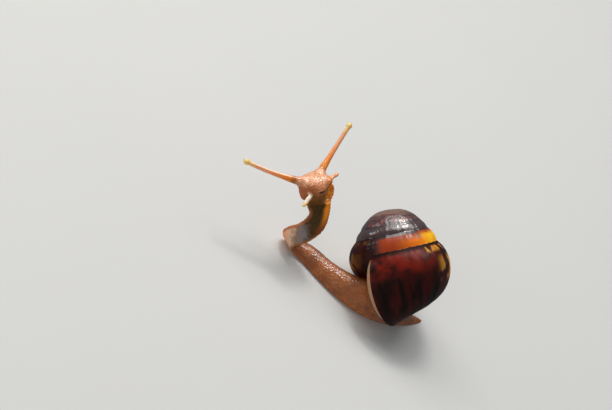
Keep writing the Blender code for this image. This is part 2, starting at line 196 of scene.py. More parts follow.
class Loft(NamedTuple):
    """Rings of points, one row for each ring, and the points that close its two ends."""

    rings: Array
    start: Array
    end: Array

    def faces(self, first: int) -> list[list[int]]:
        """Lists the loft's faces.

        Args:
            first: The number of the loft's first point in its mesh.

        Returns:
            Squares between rings, and a fan of triangles at each end.
        """
        rows, sides = self.rings.shape[:2]
        row = np.arange(rows - 1)[:, None] * sides
        near = np.arange(sides)
        far = (near + 1) % sides
        squares = np.stack([row + near, row + far, row + sides + far, row + sides + near], axis=-1)
        last = (rows - 1) * sides
        tip = np.full(sides, rows * sides)
        fans = np.concatenate(
            [
                np.stack([tip, far, near], axis=-1),
                np.stack([tip + 1, last + near, last + far], axis=-1),
            ]
        )
        return (squares.reshape(-1, 4) + first).tolist() + (fans + first).tolist()

    def points(self) -> Array:
        """Gives the rings' points in rows, then the two ends."""
        return np.vstack([self.rings.reshape(-1, 3), [self.start], [self.end]])


def add_object(name: str, mesh: bpy.types.Mesh) -> bpy.types.Object:
    """Puts a mesh in the scene as an object at the origin.

    Args:
        name: The object's name.
        mesh: Its mesh.

    Returns:
        The object.
    """
    piece = bpy.data.objects.new(name, mesh)
    bpy.context.scene.collection.objects.link(piece)
    return piece


def add_surface(name: str, points: Array, faces: list[list[int]], marks: Marks) -> bpy.types.Object:
    """Makes a smooth-shaded object from points in millimetres.

    Args:
        name: The object's name.
        points: One row for each point, in the millimetres of the sizes.
        faces: Numbers of each face's points.
        marks: Named numbers for each point, which the material reads.

    Returns:
        The object, at the origin.
    """
    mesh = bpy.data.meshes.new(name)
    mesh.from_pydata(((points - ORIGIN) * MM).tolist(), [], faces)
    mesh.shade_smooth()
    for mark, values in marks.items():
        layer = mesh.attributes.new(mark, "FLOAT", "POINT")
        layer.data.foreach_set("value", np.asarray(values, np.float32))
    mesh.update()
    log.info("%s: %d points, %d faces", name, len(mesh.vertices), len(mesh.polygons))
    return add_object(name, mesh)


class BodyPlace(NamedTuple):
    """Where points lie on the body: along its path, across it and above its sole."""

    along: Array
    across: Array
    rise: Array
    half: Array


@dataclass
class Body:
    """The foot, tail and neck: one loft with a flat sole along a bent path.

    A station is x, y, z of the middle of the sole, then half width and height. A twist
    is a station's number and how far the sole has turned sideways there, in degrees.
    """

    stations: tuple[tuple[float, ...], ...] = (
        (77.5, 22.0, 0.0, 0.7, 0.9),
        (72.0, 15.5, 0.0, 3.4, 3.2),
        (64.8, 8.0, 0.0, 6.0, 6.4),
        (56.5, 0.6, 0.0, 7.6, 12.5),
        (46.8, -4.6, 0.0, 8.0, 15.5),
        (35.0, -6.2, 0.0, 7.6, 11.5),
        (23.5, -5.0, 0.0, 7.0, 8.4),
        (12.5, -3.0, 0.0, 6.4, 7.2),
        (4.2, -3.9, 0.1, 5.7, 6.2),
        (-1.2, -7.0, 2.4, 5.3, 6.2),
        (-1.2, -10.8, 8.0, 5.2, 6.6),
        (2.4, -12.2, 15.2, 5.2, 7.6),
        (4.2, -11.8, 22.6, 5.2, 8.2),
        (2.8, -11.5, 29.1, 4.9, 8.0),
        (-0.9, -11.0, 33.8, 6.4, 7.6),
        (-3.5, -10.7, 37.3, 8.2, 8.0),
        (-5.8, -10.2, 40.4, 8.3, 7.0),
        (-8.0, -9.6, 43.4, 5.6, 4.6),
    )
    twists: tuple[tuple[float, float], ...] = ((7.0, 0.0), (11.0, 30.0), (16.0, 72.0))
    steps: int = 24
    sole_share: float = 0.86
    rim_share: float = 0.24
    side_pinch: float = 0.07
    edge_station: float = 13.9
    edge_swell: float = 0.8
    edge_reach: float = 1.7
    edge_step: float = 1.5
    lobe_along: float = 94.0
    lobe_reach: float = 6.0
    lobe_roundness: float = 0.34
    ring_spacing: float = 0.6
    ring_points: int = 84
    chunk: int = 4000
    off_line_cost: float = 0.15
    softness: float = 0.3

    def __post_init__(self) -> None:
        """Works out the path and the frame carried along it."""
        rows = catmull_rom(self.stations, self.steps)
        rows[:, 2] = np.maximum(rows[:, 2], 0)
        self.line = rows[:, :3]
        self.half, self.height = rows[:, 3], rows[:, 4]
        lengths = np.linalg.norm(np.diff(self.line, axis=0), axis=1)
        self.distances = np.concatenate([[0], np.cumsum(lengths)])
        self.tangents, ups, rights = turning_frames(self.line, np.array([0.0, 0.0, 1.0]))
        places = [self.station(number) for number, _ in self.twists]
        twist = np.radians(np.interp(self.distances, places, [degrees for _, degrees in self.twists]))
        self.ups = np.cos(twist)[:, None] * ups + np.sin(twist)[:, None] * rights
        self.rights = np.cos(twist)[:, None] * rights - np.sin(twist)[:, None] * ups

    def station(self, number: float) -> float:
        """Gives the distance from the tail's tip to a station, which may lie between two."""
        return float(self.distances[round(number * self.steps)])

    def read(self, along: Array, values: Array) -> Array:
        """Reads values that are known along the path at other distances."""
        if values.ndim == 1:
            return np.interp(along, self.distances, values)
        return np.stack([np.interp(along, self.distances, column) for column in values.T], axis=-1)

    def sole_rise(self, along: Array) -> Array:
        """Gives how far the sole is lifted: a swell at the front edge of the foot, then a step."""
        past_edge = (along - self.station(self.edge_station)) / self.edge_reach
        return self.edge_step * smooth_step(0, 1, past_edge) - self.edge_swell * hill(past_edge, 0, 1)

    def outline(self, along: Array) -> tuple[Array, Array]:
        """Draws sections: a flat sole, round rims, then a dome with pinched sides.

        Above the rim the half width goes as the cosine of the turn, less a share of
        the sine of twice the turn, and the rise as its sine. Below it a quarter round
        joins the dome to the sole, and takes more of the width at the lobe.

        Args:
            along: Distance from the tail's tip to each section.

        Returns:
            Across and rise, a row for each section.
        """
        half, height = self.read(along, self.half)[:, None], self.read(along, self.height)[:, None]
        flat = self.ring_points // 5
        roundness = self.lobe_roundness * hill(along, self.lobe_along, self.lobe_reach)[:, None]
        flat_half = (self.sole_share - roundness) * half
        rim = self.rim_share * height
        turn = np.radians(np.linspace(-90, 270, self.ring_points - flat, endpoint=False))[None]
        side = np.sign(np.cos(turn) + 1e-9)
        dome = np.sin(turn) >= 0
        pinch = 1 - self.side_pinch * np.abs(np.sin(2 * turn))
        low = side * flat_half + (half - flat_half) * np.cos(turn)
        across = np.where(dome, half * np.cos(turn) * pinch, low)
        rise = np.where(dome, rim + (height - rim) * np.sin(turn), rim * (1 + np.sin(turn)))
        sole = np.linspace(-1, 1, flat, endpoint=False)[None] * flat_half
        across = np.concatenate([sole, across], axis=1)
        rise = np.concatenate([np.zeros_like(sole), rise], axis=1)
        sole_rise = self.sole_rise(along)[:, None]
        return across, np.where(rise < 1e-6, sole_rise, np.maximum(rise, sole_rise))

    def loft(self) -> Loft:
        """Carries the section along the path, with the front edge of the foot stepped."""
        along = np.arange(0, self.distances[-1], self.ring_spacing)
        across, rise = self.outline(along)
        rights = unit(self.read(along, self.rights))[:, None]
        ups = unit(self.read(along, self.ups))[:, None]
        rings = self.read(along, self.line)[:, None] + across[..., None] * rights + rise[..., None] * ups
        rings[..., 2] = np.maximum(rings[..., 2], 0)
        return Loft(rings, rings[0].mean(axis=0), rings[-1].mean(axis=0))

    def place(self, points: Array) -> BodyPlace:
        """Finds where points lie on the body.

        The distance along is a mean over the path's samples, weighted by e to the
        minus square of how far off each sample's own cross plane the point is, with a
        small cost for the distance to the sample itself.

        Args:
            points: Points near the body.

        Returns:
            Their places.
        """
        middles = self.line + self.ups * self.height[:, None] / 2
        parts = []
        for chunk in np.array_split(points, max(1, len(points) // self.chunk)):
            gap = chunk[:, None] - middles[None]
            cost = (gap * self.tangents).sum(axis=-1) ** 2 + self.off_line_cost * (gap**2).sum(axis=-1)
            weight = np.exp(-(cost - cost.min(axis=1, keepdims=True)) / self.softness)
            parts.append((weight * self.distances).sum(axis=1) / weight.sum(axis=1))
        along = np.concatenate(parts)
        gap = points - self.read(along, self.line)
        across = (gap * unit(self.read(along, self.rights))).sum(axis=-1)
        rise = (gap * unit(self.read(along, self.ups))).sum(axis=-1)
        return BodyPlace(along, across, rise, self.read(along, self.half))


@dataclass
class Head:
    """The head: an oval with swellings, in axes of right, up and forward to the mouth.

    A swelling is a direction by right, up and forward, then height and spread in degrees.
    """

    centre: Triple = (-10.8, -10.0, 39.6)
    forward: Triple = (0.654, -0.495, 0.572)
    up: Triple = (-0.676, -0.042, 0.735)
    radii: Triple = (5.8, 4.2, 7.2)
    back_radius: float = 5.8
    swellings: tuple[tuple[float, ...], ...] = (
        (0.92, 0.38, -0.08, 3.0, 24.0),
        (-0.92, 0.38, -0.08, 3.0, 24.0),
        (0.0, -0.75, 0.66, 3.7, 24.0),
        (0.0, -0.28, 0.96, 1.9, 22.0),
        (0.47, -0.21, 0.86, 1.3, 15.0),
        (-0.63, -0.05, 0.78, 1.3, 15.0),
        (0.88, -0.42, -0.2, 1.4, 26.0),
        (-0.88, -0.42, -0.2, 2.6, 26.0),
        (0.0, -0.55, -0.83, 2.4, 30.0),
        (0.26, -0.56, 0.79, 0.9, 12.0),
        (-0.26, -0.56, 0.79, 0.9, 12.0),
        (0.8, -0.15, 0.55, 1.8, 26.0),
        (-0.8, -0.15, 0.55, 4.0, 26.0),
        (0.6, -0.8, 0.0, 4.5, 26.0),
    )
    rings: int = 90
    spokes: int = 120
    crowding: float = 1.15

    def axes(self) -> Array:
        """Gives the rows right, up and forward."""
        forward = unit(self.forward)
        up = unit(np.asarray(self.up) - np.dot(self.up, forward) * forward)
        return np.array([np.cross(forward, up), up, forward])

    def place(self, local: Array) -> Array:
        """Puts points from the head's axes into the model."""
        return np.asarray(self.centre) + np.asarray(local) @ self.axes()

    def local(self, points: Array) -> Array:
        """Puts points from the model into the head's axes."""
        return (points - np.asarray(self.centre)) @ self.axes().T

    def reach(self, directions: Array) -> Array:
        """Gives the distance from the centre to the skin.

        An oval's reach, plus for each swelling its height times e to the minus square
        of the angle to it in spreads.

        Args:
            directions: Unit directions in the head's axes.

        Returns:
            A distance for each.
        """
        right, up, forward = self.radii
        length = np.where(directions[..., 2] > 0, forward, self.back_radius)
        radii = np.stack([np.full_like(length, right), np.full_like(length, up), length], axis=-1)
        reach = 1 / np.linalg.norm(directions / radii, axis=-1)
        for *direction, height, spread in self.swellings:
            angle = np.degrees(np.arccos(np.clip(directions @ unit(direction), -1, 1)))
            reach = reach + height * hill(angle, 0, spread)
        return reach

    def loft(self) -> Loft:
        """Makes rings round the line from the mouth's side to the back."""
        spoke = np.linspace(0, 2 * math.pi, self.spokes, endpoint=False)
        polar = math.pi * np.linspace(0, 1, self.rings + 1)[:, None] ** self.crowding
        out = np.sin(polar)
        forward = np.cos(polar) + 0 * spoke
        directions = np.stack([out * np.cos(spoke), out * np.sin(spoke), forward], axis=-1)
        rings = self.place(directions * self.reach(directions)[..., None])
        return Loft(rings[1:-1], rings[0, 0], rings[-1, 0])


@dataclass(frozen=True)
class Growth:
    """How a kind of tentacle is made, in millimetres and in shares of its length."""

    root_radius: float
    stem_radius: float
    flare: float
    bulb_radius: float
    bulb_length: float
    sag: float
    way_out: float
    fillet_ends: Pair
    skin_starts: Pair


class Kind(Enum):
    """The two kinds of tentacle."""

    EYE_STALK = Growth(3.0, 1.05, 0.2, 1.5, 3.2, 0.9, 4.5, (0.06, 0.17), (0.12, 0.30))
    FEELER = Growth(2.2, 0.9, 0.3, 0.98, 2.0, 0.2, 2.5, (0.3, 0.5), (0.3, 0.48))


@dataclass
class Tentacle:
    """A tentacle: a flared root, a slender stem and a round bulb, gently bowed."""

    side: str
    kind: Kind
    root: Array
    tip: Array
    sides: int = 40
    steps: int = 110

    def shape(self, share: Array) -> tuple[Array, Array]:
        """Gives the middle line and the thickness at shares of the length.

        The thickness is the stem's, plus a flare that dies away by e, or the half
        round of the bulb where that is more. The line sags as a half sine.

        Args:
            share: From 0 at the root to 1 at the tip.

        Returns:
            Points of the line, and a radius for each.
        """
        make = self.kind.value
        line = self.root + (self.tip - self.root) * share[..., None]
        line[..., 2] -= make.sag * np.sin(math.pi * share)
        bulb_share = make.bulb_length / np.linalg.norm(self.tip - self.root)
        stem = make.stem_radius + (make.root_radius - make.stem_radius) * np.exp(-share / make.flare)
        middle = 1 - bulb_share / 2
        across = np.clip((share - middle) / (bulb_share / 2), -1, 1)
        bulb = make.bulb_radius * np.sqrt(1 - across**2)
        return line, np.where(share > middle, bulb, np.maximum(stem, bulb))

    def loft(self) -> Loft:
        """Makes rings along the line, closer together towards the tip."""
        share = np.sin(math.pi / 2 * np.linspace(0, 1, self.steps + 1))[:-1]
        line, thickness = self.shape(share)
        _, ups, rights = turning_frames(line, np.array([0.2, -0.9, 0.4]))
        around = np.linspace(0, 2 * math.pi, self.sides, endpoint=False)[None, :, None]
        circle = np.cos(around) * rights[:, None] + np.sin(around) * ups[:, None]
        return Loft(line[:, None] + circle * thickness[:, None, None], line[0], self.tip)

    def nearness(self, points: Array) -> tuple[Array, Array]:
        """Tells how far along and how much on the tentacle points are.

        Args:
            points: Points of the skin.

        Returns:
            The share along, and a weight that is 1 on the tentacle's own face.
        """
        whole = self.tip - self.root
        share = np.clip((points - self.root) @ whole / (whole @ whole), 0, 1)
        line, thickness = self.shape(share)
        off = np.linalg.norm(points - line, axis=-1) - thickness
        return share, smooth_step(1.4, 0.3, off)


@dataclass(frozen=True)
class Patch:
    """A soft-edged patch of the shell. Each of its edges is where it is 0, then where it is 1.

    The first two are turns back from the lip. The others are distances from the suture
    above, as a share of the whorl's height.
    """

    near_lip: Pair
    far_back: Pair
    upper: Pair
    lower: Pair

    def weight(self, growth: Array, across: Array) -> Array:
        """Gives a weight that is 1 in the patch."""
        turns = smooth_step(*self.near_lip, growth) * smooth_step(*self.far_back, growth)
        return turns * smooth_step(*self.upper, across) * smooth_step(*self.lower, across)


@dataclass
class Shell:
    """The shell: oval whorl sections on a spiral, measured from the apex down its axis.

    A section that is T turns back from the lip is smaller by the ratio to the power T,
    across by the radial power and along the axis by the axial power.
    """

    apex: Triple = (28.0, 20.2, 39.3)
    axis: Triple = (-0.737, 0.362, 0.571)
    lip_faces: Triple = (-0.56, 0.148, -0.816)
    ratio: float = 1.62
    count: int = 6
    offset: float = 13.9
    down: float = 38.3
    half_width: float = 14.15
    half_length: float = 19.45
    lean: float = 14.1
    radial_power: float = 0.433
    axial_power: float = 1.203
    suture_floor: float = 0.915
    columella_down: float = 36.0
    columella_radius: float = 5.9
    columella_half_length: float = 14.4
    pole: float = 32.6
    inset: float = 0.12
    blend: float = 5.0
    turn_steps: int = 340
    rings: int = 250
    wall_steps: int = 22
    lip_thickness: float = 0.7
    mouth_depth: float = 0.094
    bead_size: float = 1.15
    bead_depth: float = 0.26
    bead_flat: float = 0.6
    bead_starts: Pair = (1.85, 2.05)
    dome_steps: int = 400
    growth_waves: tuple[Triple, ...] = ((0.05, 151.0, 0.0), (0.04, 233.0, 1.3), (0.07, 67.0, 0.5))
    waves_fade: Pair = (4.2, 2.6)
    whorl_shows: float = 14.8
    whorl_shrink: float = 0.425
    flames: Patch = Patch((0.21, 0.26), (0.98, 0.7), (0.5, 0.8), (1.7, 1.3))
    flecks: Patch = Patch((0.15, 0.19), (1.0, 0.85), (0.1, 0.18), (0.45, 0.3))
    fleck_share: float = 0.8

    def axes(self) -> Array:
        """Gives rows: from the axis to the lip, the way the lip faces, and down to the base."""
        down = -unit(self.axis)
        faces = unit(np.asarray(self.lip_faces) - np.dot(self.lip_faces, down) * down)
        return np.array([np.cross(faces, down), faces, down])

    def oval_reach(self, angle: Array, centre: Arrays, halves: Arrays, lean: float) -> Array:
        """Gives the distance from the pole on the axis to the far side of an oval.

        A line from the pole meets the oval where a square equation in the distance
        holds, and the larger root is the far side. It is 0 where the line misses.

        Args:
            angle: The line's angle from the way to the apex.
            centre: The oval's centre, out from the axis and down from the apex.
            halves: Its half width and half length.
            lean: How far its length leans, in radians.

        Returns:
            A distance for each angle.
        """

        def in_oval(out: Array, down: Array) -> tuple[Array, Array]:
            """Turns a step into the oval's own half widths and half lengths."""
            wide = out * math.cos(lean) + down * math.sin(lean)
            return wide / halves[0], (down * math.cos(lean) - out * math.sin(lean)) / halves[1]

        step_wide, step_long = in_oval(np.sin(angle), -np.cos(angle))
        from_wide, from_long = in_oval(-centre[0], self.pole - centre[1])
        a = step_wide**2 + step_long**2
        b = from_wide * step_wide + from_long * step_long
        inside = b**2 - a * (from_wide**2 + from_long**2 - 1)
        reach = (np.sqrt(np.maximum(inside, 0)) - b) / a
        return np.where((inside > 0) & (reach > 0), reach, 0)

    def widest_place(self) -> tuple[float, float]:
        """Gives how far out the last whorl reaches, and how far down that is.

        Returns:
            Millimetres out from the axis, and down from the apex.
        """
        lean = math.radians(self.lean)
        past = math.hypot(self.half_width * math.cos(lean), self.half_length * math.sin(lean))
        longer = self.half_length**2 - self.half_width**2
        return self.offset + past, self.down - longer * math.sin(lean) * math.cos(lean) / past

    def dome_reach(self, turn: Array, angle: Array) -> Array:
        """Gives the distance to a smooth dome just under the whorls, which fills the sutures.

        Args:
            turn: Turn back from the lip, in radians.
            angle: The line's angle from the way to the apex.

        Returns:
            A distance from the pole for each, which is 0 past the whorl's widest place.
        """
        widest_out, widest_down = self.widest_place()
        down = np.linspace(0, self.pole, self.dome_steps)
        power = self.radial_power / self.axial_power
        out = self.suture_floor * widest_out * (down / widest_down) ** power
        reach = np.interp(angle, np.arctan2(out, self.pole - down), np.hypot(out, self.pole - down))
        whorl_down = widest_down * self.ratio ** (-self.axial_power * turn / (2 * math.pi))
        inside = (self.pole - reach * np.cos(angle) < whorl_down) & (angle < math.pi / 2)
        return np.where(inside, reach, 0)

    def whorl_reaches(self, turn: Array, angle: Array) -> Array:
        """Stacks the distances to each whorl's oval, the last whorl first.

        Args:
            turn: Turn back from the lip, in radians.
            angle: The line's angle from the way to the apex.

        Returns:
            A layer of distances from the pole for each whorl.
        """
        layers = []
        for whorl in range(self.count):
            scale = self.ratio ** -(turn / (2 * math.pi) + whorl)
            wide, long = scale**self.radial_power, scale**self.axial_power
            centre = (self.offset * wide, self.down * long)
            halves = (self.half_width * wide, self.half_length * long)
            layers.append(self.oval_reach(angle, centre, halves, math.radians(self.lean)))
        return np.stack(layers)

    def place(self, turn: Array, out: Array, down: Array) -> Array:
        """Puts points some turn back from the lip, out from the axis and down from the apex.

        Args:
            turn: Turn back from the lip, in radians.
            out: Millimetres out from the axis.
            down: Millimetres down from the apex.

        Returns:
            The points in the model.
        """
        lip, faces, base = self.axes()
        around = np.cos(turn)[..., None] * lip - np.sin(turn)[..., None] * faces
        return np.asarray(self.apex) + out[..., None] * around + down[..., None] * base

    def surface(self) -> tuple[Array, Marks]:
        """Works out the shell's grid, a row for each angle and a column for each turn.

        The reach is the logarithm of the sum of e to the power of each layer's reach,
        so that whorls meet in a narrow round groove. The marks are turns back from the
        lip, the distance from the suture above as a share of the height that the whorl
        shows, which shrinks by e to the power of the turns, and the coloured bands.

        Returns:
            The points, and the marks.
        """
        turns = np.linspace(0, 2 * math.pi, self.turn_steps + 1)
        turn, angle = np.meshgrid(turns, math.pi * np.linspace(0, 1, self.rings + 1))
        whorls = self.whorl_reaches(turn, angle)
        columella_halves = (self.columella_radius, self.columella_half_length)
        columella = self.oval_reach(angle, (0.0, self.columella_down), columella_halves, 0.0)
        layers = np.concatenate([whorls, columella[None], self.dome_reach(turn, angle)[None]])
        top = layers.max(axis=0)
        reach = top + np.log(np.exp(self.blend * (layers - top)).sum(axis=0)) / self.blend - self.inset
        reach[[0, -1]] = reach[[0, -1]].mean(axis=1, keepdims=True)
        whorl = whorls.argmax(axis=0)
        whorl = np.minimum.accumulate(np.where(angle < 1e-9, self.count - 1, whorl), axis=0)
        growth = turn / (2 * math.pi) + whorl
        points = self.place(turn, reach * np.sin(angle), self.pole - reach * np.cos(angle))
        beads = cell_pattern(points.reshape(-1, 3) / self.bead_size, 3).wall.reshape(reach.shape)
        beads = self.bead_depth * np.minimum(beads, self.bead_flat)
        beads = beads * smooth_step(*self.bead_starts, growth)
        reach = reach + (self.ridges(growth) + beads) * np.sin(angle) ** 0.5
        points = self.place(turn, reach * np.sin(angle), self.pole - reach * np.cos(angle))
        steps = np.linalg.norm(np.diff(points, axis=0), axis=-1)
        length = np.vstack([np.zeros((1, steps.shape[1])), np.cumsum(steps, axis=0)])
        above = self.below_suture(whorls, whorl, length)
        across = above / (self.whorl_shows * np.exp(-self.whorl_shrink * growth))
        bands = {"band": self.band(growth, across), "gold": self.gold(growth, across)}
        return points, {"growth": growth, "across": across} | bands

    def band(self, growth: Array, across: Array) -> Array:
        """Gives how much of the orange band, with its partly painted glow, there is, which widens as it goes
        back.

        Args:
            growth: Turns back from the lip.
            across: Distance from the suture above, as a share of the whorl's height.

        Returns:
            A weight for each point.
        """
        share = smooth_step(0.10, 0.34, across + 0.30 * smooth_step(1.17, 1.26, growth))
        share = share * smooth_step(0.0, 0.09, across)
        return share * smooth_step(0.99, 1.06, growth) * smooth_step(1.92, 1.55, growth)

    def gold(self, growth: Array, across: Array) -> Array:
        """Gives where gold flames may show: low on the last whorl, and flecks by its suture.

        Args:
            growth: Turns back from the lip.
            across: Distance from the suture above, as a share of the whorl's height.

        Returns:
            A weight for each point.
        """
        flecks = self.fleck_share * self.flecks.weight(growth, across)
        return np.maximum(self.flames.weight(growth, across), flecks)

    def ridges(self, growth: Array) -> Array:
        """Gives the low waves that growth leaves: sines of the turn, with lengths that don't match."""
        waves = sum(height * np.sin(rate * growth + start) for height, rate, start in self.growth_waves)
        return smooth_step(*self.waves_fade, growth) * waves

    def below_suture(self, whorls: Array, whorl: Array, length: Array) -> Array:
        """Measures down each column from the suture above.

        A suture is where one whorl's reach first passes the next one's, placed between
        two rows by the share of the difference.

        Args:
            whorls: Reach of each whorl, stacked.
            whorl: The whorl at each grid point.
            length: Distance down each column.

        Returns:
            A grid of millimetres.
        """
        rows = np.arange(whorl.shape[0] - 1)
        columns = np.arange(whorl.shape[1])
        starts = [np.zeros(whorl.shape[1])] * self.count
        for number in range(self.count - 1):
            row = np.clip((whorl > number).sum(axis=0), 1, rows[-1])
            lead = whorls[number] - whorls[number + 1]
            after, before = lead[row, columns], lead[row - 1, columns]
            share = np.clip(after / np.where(np.abs(after - before) < 1e-9, 1, after - before), 0, 1)
            here = length[row, columns]
            starts[number] = here - share * (here - length[row - 1, columns])
        return length - np.take_along_axis(np.stack(starts), whorl, axis=0)

    def mouth_wall(self, points: Array) -> tuple[Array, Array]:
        """Works out the wall across the mouth, set in behind a thin lip.

        Each row goes from the earlier whorl's face to the lip. Between them it turns
        back round the axis, over a lip's thickness at each end.

        Args:
            points: The shell's grid.

        Returns:
            The wall's points, a column for each step, and how deep each is, from 0 to 1.
        """
        inner, outer = points[:, -1], points[:, 0]
        gap = np.linalg.norm(outer - inner, axis=-1)[:, None]
        share = np.linspace(0, 1, self.wall_steps + 1)[1:-1][None]
        lip = np.clip(self.lip_thickness / np.maximum(gap, 1e-6), 0, 0.45)
        share = np.where(share > 0.5, 1 - 2 * (1 - share) ** 2, 2 * share**2)
        depth = smooth_step(0, 1, (1 - share) / lip - 0.8) * smooth_step(0, 0.08, share)
        depth = depth * smooth_step(2.0, 5.0, gap)
        _, faces, base = self.axes()
        apex = np.asarray(self.apex)
        flat = inner[:, None] + (outer - inner)[:, None] * share[..., None]
        out = np.linalg.norm((flat - apex) - ((flat - apex) @ base)[..., None] * base, axis=-1)
        down = (flat - apex) @ base
        return self.place(depth * self.mouth_depth, out, down), depth

    def build(self) -> bpy.types.Object:
        """Makes the closed shell."""
        points, marks = self.surface()
        wall, depth = self.mouth_wall(points)
        grid = np.concatenate([points, wall], axis=1)
        gap = np.linalg.norm(points[:, :1] - points[:, -1:], axis=-1)
        full = {}
        for mark, values in marks.items():
            side = np.repeat(values[:, -1:], wall.shape[1], axis=1)
            full[mark] = np.concatenate([values, side], axis=1)
        inside = (0.4 + 0.6 * depth) * smooth_step(1.0, 3.0, gap)
        full["mouth"] = np.concatenate([np.zeros(points.shape[:2]), inside], axis=1)
        rows, columns = grid.shape[:2]
        row = np.arange(rows - 1)[:, None] * columns
        near = np.arange(columns)
        far = (near + 1) % columns
        faces = np.stack([row + near, row + far, row + columns + far, row + columns + near], axis=-1)
        piece = add_surface(
            "shell_whorls",
            grid.reshape(-1, 3),
            faces.reshape(-1, 4).tolist(),
            {mark: values.reshape(-1) for mark, values in full.items()},
        )
        close_poles(piece.data)
        return piece


def close_poles(mesh: bpy.types.Mesh) -> None:
    """Merges points that lie together and turns the faces outwards.

    Args:
        mesh: The mesh that is mended.
    """
    work = bmesh.new()
    work.from_mesh(mesh)
    bmesh.ops.remove_doubles(work, verts=work.verts, dist=1e-6)
    bmesh.ops.dissolve_degenerate(work, edges=work.edges, dist=1e-7)
    bmesh.ops.recalc_face_normals(work, faces=work.faces)
    work.to_mesh(mesh)
    work.free()
    mesh.shade_smooth()


@dataclass
class Mantle:
    """The thick collar of flesh that fills the mouth of the shell."""

    shell: Shell
    share: float = 0.92
    depth: float = 6.0
    squareness: float = 0.7
    sides: int = 120
    rings: int = 60

    def axes(self) -> tuple[Array, Array]:
        """Gives the centre, and rows of the half width, half length and half depth."""
        lip, faces, base = self.shell.axes()
        lean = math.radians(self.shell.lean)
        centre = np.asarray(self.shell.apex) + self.shell.offset * lip + self.shell.down * base
        wide = (math.cos(lean) * lip + math.sin(lean) * base) * self.shell.half_width * self.share
        long = (math.cos(lean) * base - math.sin(lean) * lip) * self.shell.half_length * self.share
        return centre, np.array([wide, long, faces * self.depth])

    def loft(self) -> Loft:
        """Makes rings whose spread goes as a power of the sine, which squares the edge."""
        centre, (wide, long, deep) = self.axes()
        around = np.linspace(0, 2 * math.pi, self.sides, endpoint=False)[None, :, None]
        polar = math.pi * np.linspace(0, 1, self.rings + 1)[1:-1][:, None, None]
        spread = np.sin(polar) ** self.squareness
        rings = centre + (np.cos(around) * wide + np.sin(around) * long) * spread + np.cos(polar) * deep
        return Loft(rings, centre + deep, centre - deep)

    def nearness(self, points: Array) -> Array:
        """Gives a weight that is 1 on the collar's own face.

        Args:
            points: Points of the skin.

        Returns:
            A weight for each.
        """
        centre, rows = self.axes()
        shares = (points - centre) @ rows.T / (rows**2).sum(axis=1)
        round_share = np.hypot(shares[:, 0], shares[:, 1]) ** (1 / self.squareness)
        return smooth_step(0.3, 0.05, np.abs(np.hypot(round_share, shares[:, 2]) - 1))


def neighbour_mean(values: Array, edges: Array) -> Array:
    """Gives the mean of each point's neighbours.

    Args:
        values: A row for each point.
        edges: Pairs of point numbers.

    Returns:
        A row for each point.
    """
    near = np.concatenate([edges[:, 0], edges[:, 1]])
    far = np.concatenate([edges[:, 1], edges[:, 0]])
    count = np.bincount(near, minlength=len(values))[:, None]
    sums = [np.bincount(near, weights=column[far], minlength=len(values)) for column in values.T]
    return np.stack(sums, axis=-1) / np.maximum(count, 1)


class Grain(NamedTuple):
    """The skin's beads: how far each point rises, how much of a groove it is, and its bead's tone."""

    rise: Array
    groove: Array
    tone: Array


